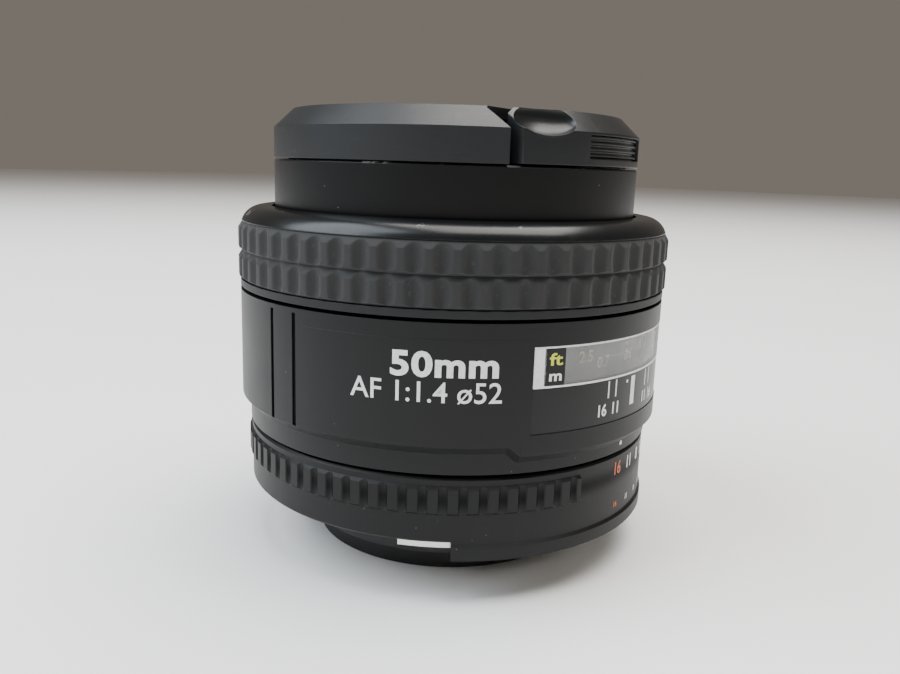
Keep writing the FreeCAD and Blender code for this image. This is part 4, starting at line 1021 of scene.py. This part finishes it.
@dataclass
class Studio:
    """Pale tabletop, soft lights and the camera."""

    distance: float = 126.8
    azimuth: float = -51.3
    height: float = 55.53
    pitch: float = 11.75
    roll: float = 1.86
    lens: float = 32.612
    sensor: float = 36.0

    def build(self, shop: Workshop) -> None:
        """Set up everything round the lens."""
        self.lay_floor(shop)
        self.light()
        self.set_camera()

    def lay_floor(self, shop: Workshop) -> None:
        """Tabletop at the height that the lens stands on."""
        shape = bmesh.new()
        bmesh.ops.create_grid(shape, x_segments=8, y_segments=8, size=3.0)
        mesh = bpy.data.meshes.new("tabletop")
        shape.to_mesh(mesh)
        shape.free()
        mesh.materials.append(shop.palette["tabletop"])
        floor = bpy.data.objects.new("tabletop", mesh)
        bpy.context.scene.collection.objects.link(floor)

    def light(self) -> None:
        """Soft daylight from the left, a high overhead panel and a pale surround."""
        world = bpy.data.worlds.new("surround")
        world.use_nodes = True
        backdrop = world.node_tree.nodes["Background"]
        backdrop.inputs["Color"].default_value = (0.86, 0.76, 0.66, 1.0)
        backdrop.inputs["Strength"].default_value = 0.22
        bpy.context.scene.world = world
        self.panel("window_light", -128.0, 0.70, 0.75, 0.8, 15.0, (0.82, 0.91, 1.0))
        self.panel("ceiling_light", 60.0, 0.25, 1.15, 1.0, 27.0, (1.0, 0.98, 0.95))

    def panel(
        self, name: str, azimuth: float, away: float, high: float, size: float, watts: float,
        colour: tuple[float, float, float],
    ) -> None:
        """Square soft light that faces the lens.

        Args:
            name: Name of the light.
            azimuth: Degrees from -Y towards +X.
            away: Distance from the axis in metres.
            high: Height in metres.
            size: Side in metres.
            watts: Power.
            colour: Light colour.
        """
        data = bpy.data.lights.new(name, "AREA")
        data.shape = "SQUARE"
        data.size = size
        data.energy = watts
        data.color = colour
        lamp = bpy.data.objects.new(name, data)
        lamp.location = degrees_to_point(away, azimuth, high)
        target = Vector((0.0, 0.0, 0.03))
        lamp.rotation_euler = (target - lamp.location).to_track_quat("-Z", "Y").to_euler()
        bpy.context.scene.collection.objects.link(lamp)

    def set_camera(self) -> None:
        """Place the camera level with the lens front, tipped down and slightly rolled."""
        data = bpy.data.cameras.new("camera")
        data.sensor_width = self.sensor
        data.lens = self.lens
        data.clip_start = 0.005
        camera = bpy.data.objects.new("camera", data)
        place = degrees_to_point(self.distance * MM, self.azimuth, self.height * MM)
        level = Vector((-place.x, -place.y, 0.0)).normalized()
        across = level.cross(Vector((0.0, 0.0, 1.0)))
        pitch, roll = math.radians(self.pitch), math.radians(self.roll)
        ahead = level * math.cos(pitch) - Vector((0.0, 0.0, math.sin(pitch)))
        up = across.cross(ahead)
        right = across * math.cos(roll) + up * math.sin(roll)
        top = up * math.cos(roll) - across * math.sin(roll)
        turn = Matrix((right, top, -ahead)).transposed().to_4x4()
        camera.matrix_world = Matrix.Translation(place) @ turn
        bpy.context.scene.collection.objects.link(camera)
        bpy.context.scene.camera = camera


@dataclass
class RearMount:
    """Metal mount, its screws, baffle, contacts, lever and the chassis inside."""

    screw_azimuths: tuple[float, float, float] = (30.0, 150.0, 270.0)
    screw_place: float = 26.7
    head_radius: float = 1.6
    recess: float = 0.55
    body: str = "mount_body"

    def build(self, shop: Workshop) -> None:
        """Dress the mount and make its detailed screws."""
        shop.dress("mount_metal", "bayonet_mount")
        shop.dress("inner_black", "rear_baffle", "contact_block")
        shop.dress("contact_gold", *(f"contact_pin_{n}" for n in range(1, 6)))
        shop.dress("chassis_metal", "rear_chassis", "guide_tube", "guide_key_1", "guide_key_2")
        shop.dress("spring_steel", "click_ball")
        shop.dress("screw_steel", "stop_down_lever")
        shop.dress("shaft_steel", "af_drive_shaft")
        for number, azimuth in enumerate(self.screw_azimuths, start=1):
            self.screw(shop, number, azimuth)
        self.click_spring(shop)

    def screw(self, shop: Workshop, number: int, azimuth: float) -> None:
        """Flat-headed screw with a cross recess, head down."""
        least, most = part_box(f"mount_screw_{number}")
        low, high = least.z / MM, most.z / MM
        head = self.head_radius
        shape = turned([
            (0.0, low), (head - 0.15, low), (head, low + 0.15), (head, low + 0.8),
            (0.8, low + 0.8), (0.8, high - 0.3), (0.5, high), (0.0, high),
        ], 32)
        cutters = []
        for turn in (20.0, 110.0):
            cutter = bmesh.new()
            bmesh.ops.create_cube(cutter, size=1.0)
            size = Matrix.Diagonal((1.9 * MM, 0.42 * MM, self.recess * 2 * MM, 1.0))
            stand = Matrix.Translation((0.0, 0.0, low * MM))
            cutters.append(moved(cutter, stand @ Matrix.Rotation(math.radians(turn), 4, "Z") @ size))
        shape = carved(shape, *cutters)
        place = degrees_to_point(self.screw_place * MM, azimuth, 0.0)
        moved(shape, Matrix.Translation(place))
        name = f"mount_screw_detail_{number}"
        shop.piece(name, shape, "screw_steel", self.body, (f"mount_screw_{number}",))

    def click_spring(self, shop: Workshop) -> None:
        """Small wound spring beside the click ball."""
        least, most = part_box("click_spring")
        shape = coil(0.55, 0.14, (most.z - least.z) / MM, 1.5)
        middle = (least + most) / 2
        stand = Matrix.Translation((middle.x, middle.y, least.z)) @ Matrix.Rotation(
            math.radians(-90.0), 4, "Y"
        )
        shop.piece(
            "click_spring_coil", moved(shape, stand), "spring_steel", self.body, ("click_spring",)
        )


@dataclass
class Casing:
    """Fixed outer casing with its lettering, fine line and aperture index."""

    radius: float = 32.0
    title_azimuth: float = -52.3
    line_height: float = 35.4
    collar: float = 30.8
    bevel_top: float = 21.9
    bevel_depth: float = 1.2
    drop: float = 1.3
    step_turn: float = 34.6
    step_sweep: float = 2.9
    body: str = "mount_body"

    def build(self, shop: Workshop) -> None:
        """Dress the casing and print on it."""
        shop.dress("body_plastic", "outer_casing")
        title = Lettering("50mm", 3.05, bold=0.14, width=1.20, spacing=1.07)
        shop.piece(
            "casing_title", title.round_side(self.radius, self.title_azimuth, 32.35),
            "ink_white", self.body, weighted=False,
        )
        under = Lettering("AF 1:1.4 ø52", 2.65, bold=0.02, width=1.0)
        shop.piece(
            "casing_subtitle", under.round_side(self.radius, -56.5, 28.85),
            "ink_white", self.body, weighted=False,
        )
        self.line(shop)
        for side in (-1, 1):
            shape = self.step(side)
            name = "bevel_step_left" if side < 0 else "bevel_step_right"
            shop.piece(name, shape, "body_plastic", self.body)
        collar = Extent.of("outer_casing")
        mark = dot(30.8, 0.0, collar.low / MM + 1.1, 0.34)
        shop.piece("aperture_index", mark, "ink_white", self.body)

    def step(self, side: int) -> bmesh.types.BMesh:
        """Slanted end of the lower bevel beside the window.

        Args:
            side: -1 or 1 for the side of the window.

        Returns:
            The closed wedge.
        """
        shape = bmesh.new()
        far, near = side * (self.step_turn + self.step_sweep), side * self.step_turn
        outer = [(far, self.bevel_top), (near, self.bevel_top), (near, self.bevel_top - self.drop)]
        rows = []
        for radius, fall in ((self.radius - 0.01, 0.0), (self.collar, self.bevel_depth)):
            points = [(turn, z - (0.0 if n == 1 else fall)) for n, (turn, z) in enumerate(outer)]
            rows.append([
                shape.verts.new(degrees_to_point(radius * MM, turn, z * MM)) for turn, z in points
            ])
        shape.faces.new(rows[0])
        shape.faces.new(rows[1][::-1])
        for a, b in ((0, 1), (1, 2), (2, 0)):
            shape.faces.new((rows[0][a], rows[1][a], rows[1][b], rows[0][b]))
        bmesh.ops.recalc_face_normals(shape, faces=shape.faces)
        return shape

    def line(self, shop: Workshop) -> None:
        """Raised hair line below the casing's upper edge."""
        outline = [
            (self.radius - 0.05, self.line_height - 0.09), (self.radius + 0.03, self.line_height - 0.04),
            (self.radius + 0.03, self.line_height + 0.04), (self.radius - 0.05, self.line_height + 0.09),
        ]
        shape = turned(outline, 60, -89.0, 56.0)
        shop.piece("casing_line", shape, "body_plastic", self.body)


@dataclass
class ScaleWindow:
    """Distance window with its white surround, and the depth-of-field panel under it."""

    reach: float = 32.5
    face: float = 31.9
    seat: float = 31.2
    sill: float = 29.2
    body: str = "mount_body"
    stops: tuple[tuple[str, float, float], ...] = (("16", 10.4, 12.2), ("11", 7.6, 7.4))

    def build(self, shop: Workshop) -> None:
        """Make the panel, the clear strip and everything printed on them."""
        band = Extent.of("window_panel")
        low, high = band.low / MM, band.high / MM
        panel = turned(block_outline(self.seat, self.face, low, self.sill), 60, -self.reach, self.reach * 2)
        round_off(panel, 0.06 * MM)
        shop.piece("scale_panel", panel, "panel_black", self.body, ("window_panel",))
        cover = turned(
            block_outline(self.face - 0.35, self.face, self.sill, high), 60, -self.reach, self.reach * 2
        )
        round_off(cover, 0.08 * MM)
        shop.piece("window_cover", cover, "window_clear", self.body, ("window_panel",))
        self.surround(shop, high)
        self.marks(shop)

    def surround(self, shop: Workshop, high: float) -> None:
        """White edge lines, the thick side bars and the unit box."""
        middle = (self.sill + high) / 2
        tall = high - self.sill
        strips = [
            patch(self.face, 0.0, high - 0.14, self.reach * 2 - 0.4, 0.24),
            patch(self.face, 0.0, self.sill + 0.14, self.reach * 2 - 0.4, 0.26),
        ]
        for side in (-1, 1):
            strips.append(patch(self.face, side * (self.reach - 1.45), middle, 2.6, tall - 0.1))
        shop.piece("window_surround", joined(*strips), "ink_white", self.body)
        boxes = [
            patch(self.face, side * 26.9, middle, 4.9, tall - 0.5, 0.02) for side in (-1, 1)
        ]
        shop.piece("unit_box", joined(*boxes), "panel_black", self.body)
        feet = Lettering("ft", 1.55, bold=0.04, width=1.45)
        shop.piece(
            "unit_feet", feet.round_side(self.face + 0.03, -26.9, middle + 1.0),
            "ink_yellow", self.body, weighted=False,
        )
        metres = Lettering("m", 1.35, bold=0.05, width=1.35)
        shop.piece(
            "unit_metres", metres.round_side(self.face + 0.03, -26.9, middle - 1.3),
            "ink_white", self.body, weighted=False,
        )

    def marks(self, shop: Workshop) -> None:
        """Index bar, infra-red dot, stop lines and their numbers."""
        shapes = [
            patch(self.face, 0.0, 26.85, 1.9, 4.0), dot(self.face, -2.9, 28.35, 0.22),
        ]
        for text, away, label_away in self.stops:
            for side in (-1, 1):
                shapes.append(patch(self.face, side * away, 27.85, 0.45, 2.3))
                label = Lettering(text, 1.6, bold=0.05, width=0.88)
                shapes.append(label.round_side(self.face, side * label_away, 25.2))
        shop.piece(
            "depth_marks", joined(*shapes), "ink_white", self.body,
            weighted=False,
        )


@dataclass
class FocusRing:
    """Focus ring with its rubber grip, scale drum, helicoid and gear."""

    pads: int = 60
    columns: int = 16
    phase: float = 0.375
    valley_share: float = 0.68
    valley_depth: float = 0.66
    facet: float = 1.0
    facet_depth: float = 0.62
    undercut: float = 0.42
    undercut_depth: float = 0.60
    infinity: float = -106.8
    loop_step: float = 1.1
    body: str = "focus_body"

    def build(self, shop: Workshop) -> None:
        """Make the ring, grip, scale and gear."""
        self.ring(shop)
        self.grip(shop)
        shop.dress("helicoid_metal", "focus_helicoid")
        self.scale(shop)
        self.gear(shop)

    def ring(self, shop: Workshop) -> None:
        """Glossy ring with a rounded shoulder."""
        shop.dress("ring_plastic", "focus_ring")

    def grip(self, shop: Workshop) -> None:
        """Rubber sleeve with two rows of pads between scooped valleys."""
        band = Extent.of("rubber_grip")
        low, high, crown = band.low / MM, band.high / MM, band.radius / MM
        middle = (low + high) / 2
        rows = [(low, middle), (middle, high)]
        outline = [(30.6, low)]
        for start, end in rows:
            top = end - self.facet
            outline += [(crown, start + self.undercut * n / 4) for n in range(5)]
            foot = start + self.undercut
            outline += [(crown, foot + (top - foot) * n / 7) for n in range(1, 8)]
            outline += [(crown, top + self.facet * n / 6) for n in range(1, 6)]
        outline += [(crown, high), (30.6, high)]
        shape = turned(outline, self.pads * self.columns)
        for vert in shape.verts:
            reach = vert.co.xy.length / MM
            if reach < crown - 0.5:
                continue
            drop = max(self.valley(vert.co, rows), self.slopes(vert.co.z / MM, rows))
            vert.co.xy *= (reach - drop) / reach
        shop.piece("grip_pads", shape, "grip_rubber", self.body, ("rubber_grip",), smooth=30.0,
                   weighted=False)

    def valley(self, place: Vector, rows: list[tuple[float, float]]) -> float:
        """How far a valley between pads lies under the crown, in millimetres."""
        height = place.z / MM
        start, end = next((row for row in rows if height <= row[1] + 1e-4), rows[-1])
        along = abs(2 * (height - start) / (end - start) - 1.0)
        turn = math.degrees(math.atan2(place.x, -place.y)) * self.pads / AROUND + self.phase
        across = abs((turn % 1.0) - 0.5) / (self.valley_share / 2)
        return self.valley_depth * max(0.0, 1.0 - across**1.6 - 0.55 * along**4)

    def slopes(self, height: float, rows: list[tuple[float, float]]) -> float:
        """How far the sloped ends of a row lie under the crown, in millimetres."""
        start, end = next((row for row in rows if height <= row[1] + 1e-4), rows[-1])
        above = max(0.0, height - (end - self.facet)) / self.facet
        below = max(0.0, start + self.undercut - height) / self.undercut
        return max(self.facet_depth * above, self.undercut_depth * below)

    def scale(self, shop: Workshop) -> None:
        """Distance drum with feet above metres."""
        shop.dress("scale_black", "distance_scale")
        drum = Extent.of("distance_scale")
        face = drum.radius / MM
        feet, metres = [], []
        for text, azimuth in (("1.5", 31.5), ("2", 4.5), ("2.5", -14.2), ("3", -29.0),
                              ("4", -41.0), ("5", -52.0), ("7", -64.0), ("15", -82.0)):
            feet.append(Lettering(text, 1.55, bold=0.03).round_side(face, azimuth, 32.05))
        for text, azimuth in (("0.45", 32.5), ("0.5", 20.0), ("0.6", 6.0), ("0.7", -7.3),
                              ("0.9", -25.0), ("1.2", -40.0), ("2", -60.0), ("5", -83.0)):
            metres.append(Lettering(text, 1.55, bold=0.03).round_side(face, azimuth, 30.95))
        for side in (-1, 1):
            metres.append(loop(face, self.infinity + side * self.loop_step, 31.3, 0.7, 0.2))
        shop.piece("scale_feet", joined(*feet), "ink_olive", self.body, weighted=False)
        shop.piece(
            "scale_metres", joined(*metres), "ink_white", self.body, weighted=False,
        )

    def gear(self, shop: Workshop) -> None:
        """Ring gear with its teeth."""
        band = Extent.of("focus_gear")
        low, high = band.low / MM, band.high / MM
        teeth = 120
        shape = turned(block_outline(28.5, 28.85, low, high), teeth * 2)
        crown = []
        for face in shape.faces:
            middle = face.calc_center_median()
            turn = math.degrees(math.atan2(middle.x, -middle.y)) % (AROUND / teeth)
            outside = math.hypot(middle.x, middle.y) > 28.8 * MM
            if outside and turn < AROUND / teeth / 2:
                crown.append(face)
        bmesh.ops.inset_individual(
            shape, faces=crown, thickness=0.08 * MM, depth=0.42 * MM, use_even_offset=True
        )
        bmesh.ops.recalc_face_normals(shape, faces=shape.faces)
        shop.piece("gear_teeth", shape, "gear_plastic", self.body, ("focus_gear",), smooth=20.0)


@dataclass
class ApertureRing:
    """Aperture ring with its two rows of stop numbers and the small lock."""

    stops: tuple[str, ...] = ("16", "11", "8", "5.6", "4", "2.8", "2", "1.4")
    step: float = 7.0
    face: float = 30.65
    body: str = "aperture_body"

    def build(self, shop: Workshop) -> None:
        """Dress the ring and print its numbers."""
        shop.dress("aperture_plastic", "aperture_ring")
        shop.dress("lock_plastic", "lock_slider")
        white, small = [], []
        for number, text in enumerate(self.stops):
            azimuth = number * self.step
            label = Lettering(text, 1.85, bold=0.05, width=0.85)
            tiny = Lettering(text, 0.85, bold=0.02, width=0.9)
            if number == 0:
                shop.piece(
                    "smallest_stop", label.round_side(self.face, azimuth, 15.4), "ink_orange",
                    self.body, weighted=False,
                )
                shop.piece(
                    "smallest_stop_low", tiny.round_side(self.face, azimuth, 10.0), "ink_orange",
                    self.body, weighted=False,
                )
            else:
                white.append(label.round_side(self.face, azimuth, 15.4))
                small.append(tiny.round_side(self.face, azimuth, 10.0))
        shop.piece(
            "stop_numbers", joined(*white), "ink_white", self.body, weighted=False,
        )
        shop.piece("stop_numbers_low", joined(
            *small,
        ), "ink_white", self.body, weighted=False)


@dataclass
class LensUnit:
    """Filter barrel with its thread, front trim, carrier, cells, glass and iris."""

    bore: float = 26.1
    thread: float = 25.6
    pitch: float = 0.75
    body: str = "lens_unit"

    def build(self, shop: Workshop) -> None:
        """Make the barrel and dress the rest."""
        self.barrel(shop)
        shop.dress("trim_plastic", "front_trim")
        shop.dress("cell_black", "front_cell", "rear_cell", "rear_spacer", "rear_retaining_ring",
                   "iris_housing", "iris_cover", "lens_carrier")
        shop.dress("lens_glass", "lens_element_1", "lens_element_3", "lens_element_5", "lens_element_7")
        shop.dress("lens_glass_amber", "lens_element_2", "lens_element_4", "lens_element_6")
        shop.dress("blade_steel", "iris_drive_ring", *(f"iris_blade_{n}" for n in range(1, 8)))
        self.ring_print(shop)

    def barrel(self, shop: Workshop) -> None:
        """Barrel with a threaded mouth and a softened rim."""
        band = Extent.of("filter_barrel")
        low, high, out = band.low / MM, band.high / MM, band.radius / MM
        outline = [(self.bore, low), (out, low), (out, high - 0.25), (out - 0.25, high),
                   (self.thread + 0.55, high)]
        turns = 5
        top = high - 0.35
        for number in range(turns):
            crest = top - self.pitch * number
            outline += [(self.thread + 0.02, crest), (self.thread + 0.42, crest - self.pitch / 2)]
        outline += [(self.thread + 0.02, high - 4.1), (self.bore, high - 4.1)]
        shape = turned(outline, 192)
        shop.piece("barrel_shell", shape, "barrel_plastic", self.body, ("filter_barrel",), smooth=26.0)

    def ring_print(self, shop: Workshop) -> None:
        """Size and stop printed round the front trim."""
        trim = Extent.of("front_trim")
        shapes = [
            Lettering("50mm 1:1.4", 1.5, bold=0.02).round_front(23.3, 90.0, trim.high / MM - 1.35),
        ]
        shop.piece("trim_print", joined(*shapes), "ink_white", self.body, weighted=False)


@dataclass
class FrontCap:
    """Snap cap with two pinch clips, their finger scoops and ribbed press faces."""

    azimuth: float = 5.0
    radius: float = 27.0
    top_radius: float = 24.3
    chord: float = 18.6
    half_width: float = 16.9
    chamfer: float = 2.6
    plug_drop: float = 2.3
    press_radius: float = 26.3
    press_reach: float = 17.2
    rib_count: int = 4
    scoop_turn: float = 31.0
    travel: float = 1.6

    def build(self, shop: Workshop) -> None:
        """Dress the shell and make both clips and their springs."""
        shop.dress("cap_plastic", "cap_shell", "cap_plate")
        for side, turn in (("a", 0.0), ("b", 180.0)):
            self.clip(shop, side, self.azimuth + turn)
            self.spring(shop, side, self.azimuth + turn)

    def clip(self, shop: Workshop, side: str, azimuth: float) -> None:
        """Pinch clip with scooped ends and a ribbed press face."""
        band = Extent.of(f"cap_clip_{side}")
        least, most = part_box("cap_shell")
        base, top = least.z / MM + self.plug_drop + 0.1, most.z / MM
        shoulder = top - self.chamfer
        shape = turned([
            (0.0, base), (self.radius, base), (self.radius, shoulder), (self.top_radius, top),
            (0.0, top),
        ], 240)
        planes = (
            ((self.chord, 0.0), (-1.0, 0.0)), ((0.0, self.half_width), (0.0, 1.0)),
            ((0.0, -self.half_width), (0.0, -1.0)),
        )
        for (x, y), (across, along) in planes:
            turn = Matrix.Rotation(math.radians(-90.0), 4, "Z")
            cut = bmesh.ops.bisect_plane(
                shape, geom=list(shape.verts) + list(shape.edges) + list(shape.faces),
                plane_co=turn @ Vector((x * MM, y * MM, 0.0)),
                plane_no=turn @ Vector((across, along, 0.0)), clear_outer=True,
            )
            rim = [item for item in cut["geom_cut"] if isinstance(item, bmesh.types.BMEdge)]
            bmesh.ops.holes_fill(shape, edges=rim, sides=0)
        settle(shape)
        round_off(shape, 0.16 * MM)
        cutters = [self.scoop(sign, top) for sign in (-1, 1)]
        cutters.append(turned(
            block_outline(self.press_radius, self.radius + 2.0, base + 0.9, base + 3.9),
            48, -self.press_reach, self.press_reach * 2,
        ))
        shape = carved(shape, *cutters)
        ribs = []
        for number in range(self.rib_count):
            height = base + 1.35 + number * 0.76
            ribs.append(turned([
                (self.press_radius - 0.1, height - 0.3), (self.press_radius + 0.36, height - 0.12),
                (self.press_radius + 0.36, height + 0.1), (self.press_radius - 0.1, height + 0.26),
            ], 48, -self.press_reach + 0.3, self.press_reach * 2 - 0.6))
        shape = joined(shape, *ribs, self.tongue(base))
        moved(shape, Matrix.Rotation(math.radians(azimuth), 4, "Z"))
        shop.piece(
            f"clip_{side}_shell", shape, "clip_plastic", f"clip_{side}_body",
            (f"cap_clip_{side}",), smooth=28.0,
        )
        LOG.info("clip %s reaches %.2f mm", side, band.radius / MM)

    def scoop(self, sign: int, top: float) -> bmesh.types.BMesh:
        """Finger scoop at one end of a clip's slope.

        Args:
            sign: -1 or 1 for the end.
            top: Height of the cap's front in millimetres.

        Returns:
            The closed shape to carve away.
        """
        ball = bmesh.new()
        bmesh.ops.create_uvsphere(ball, u_segments=48, v_segments=32, radius=1.0)
        size = Matrix.Diagonal((2.1 * MM, 4.7 * MM, 2.7 * MM, 1.0))
        lean = Matrix.Rotation(math.radians(-44.0), 4, "Y")
        return moved(ball, placed(25.95, sign * self.scoop_turn, top - 0.95) @ lean @ size)

    def tongue(self, base: float) -> bmesh.types.BMesh:
        """Tongue that holds the spring, and the toothed wall that grips the thread."""
        bar = bmesh.new()
        bmesh.ops.create_cube(bar, size=1.0)
        size = Matrix.Diagonal((7.6 * MM, 10.0 * MM, 2.2 * MM, 1.0))
        moved(bar, placed(15.8, 0.0, base + 2.2) @ size)
        round_off(bar, 0.2 * MM)
        wall = turned([
            (23.7, base - 1.8), (25.25, base - 1.8), (25.3, base - 1.5), (25.0, base - 1.1),
            (25.0, base + 0.6), (23.7, base + 0.6),
        ], 40, -18.0, 36.0)
        return joined(bar, wall)

    def spring(self, shop: Workshop, side: str, azimuth: float) -> None:
        """Wound spring for the clip."""
        least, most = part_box(f"cap_spring_{side}")
        length = (most - least).xy.length / MM
        inner, outer = 3.1, 11.9
        shape = coil(1.25, 0.22, outer - inner, 8.0)
        middle = (least.z + most.z) / 2 / MM
        moved(shape, placed(inner, azimuth, middle))
        made = shop.piece(
            f"cap_spring_coil_{side}", shape, "spring_steel", "cap_body",
            (f"cap_spring_{side}",), weighted=False,
        )
        outward = degrees_to_point(1.0, azimuth, 0.0)
        anchor = degrees_to_point(inner * MM, azimuth, middle * MM)
        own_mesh(made)
        LOG.info("spring %s is %.2f mm across", side, length)


def main() -> None:
    """Build the lens from the mount forwards."""
    logging.basicConfig(level=logging.INFO, format="%(name)s: %(message)s")
    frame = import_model()
    shop = Workshop(frame)
    assemblies = (
        Studio(), RearMount(), Casing(), ScaleWindow(), FocusRing(), ApertureRing(),
        LensUnit(), FrontCap(),
    )
    for assembly in assemblies:
        assembly.build(shop)
        LOG.info("%s built", type(assembly).__name__)


if __name__ == "__main__":
    main()
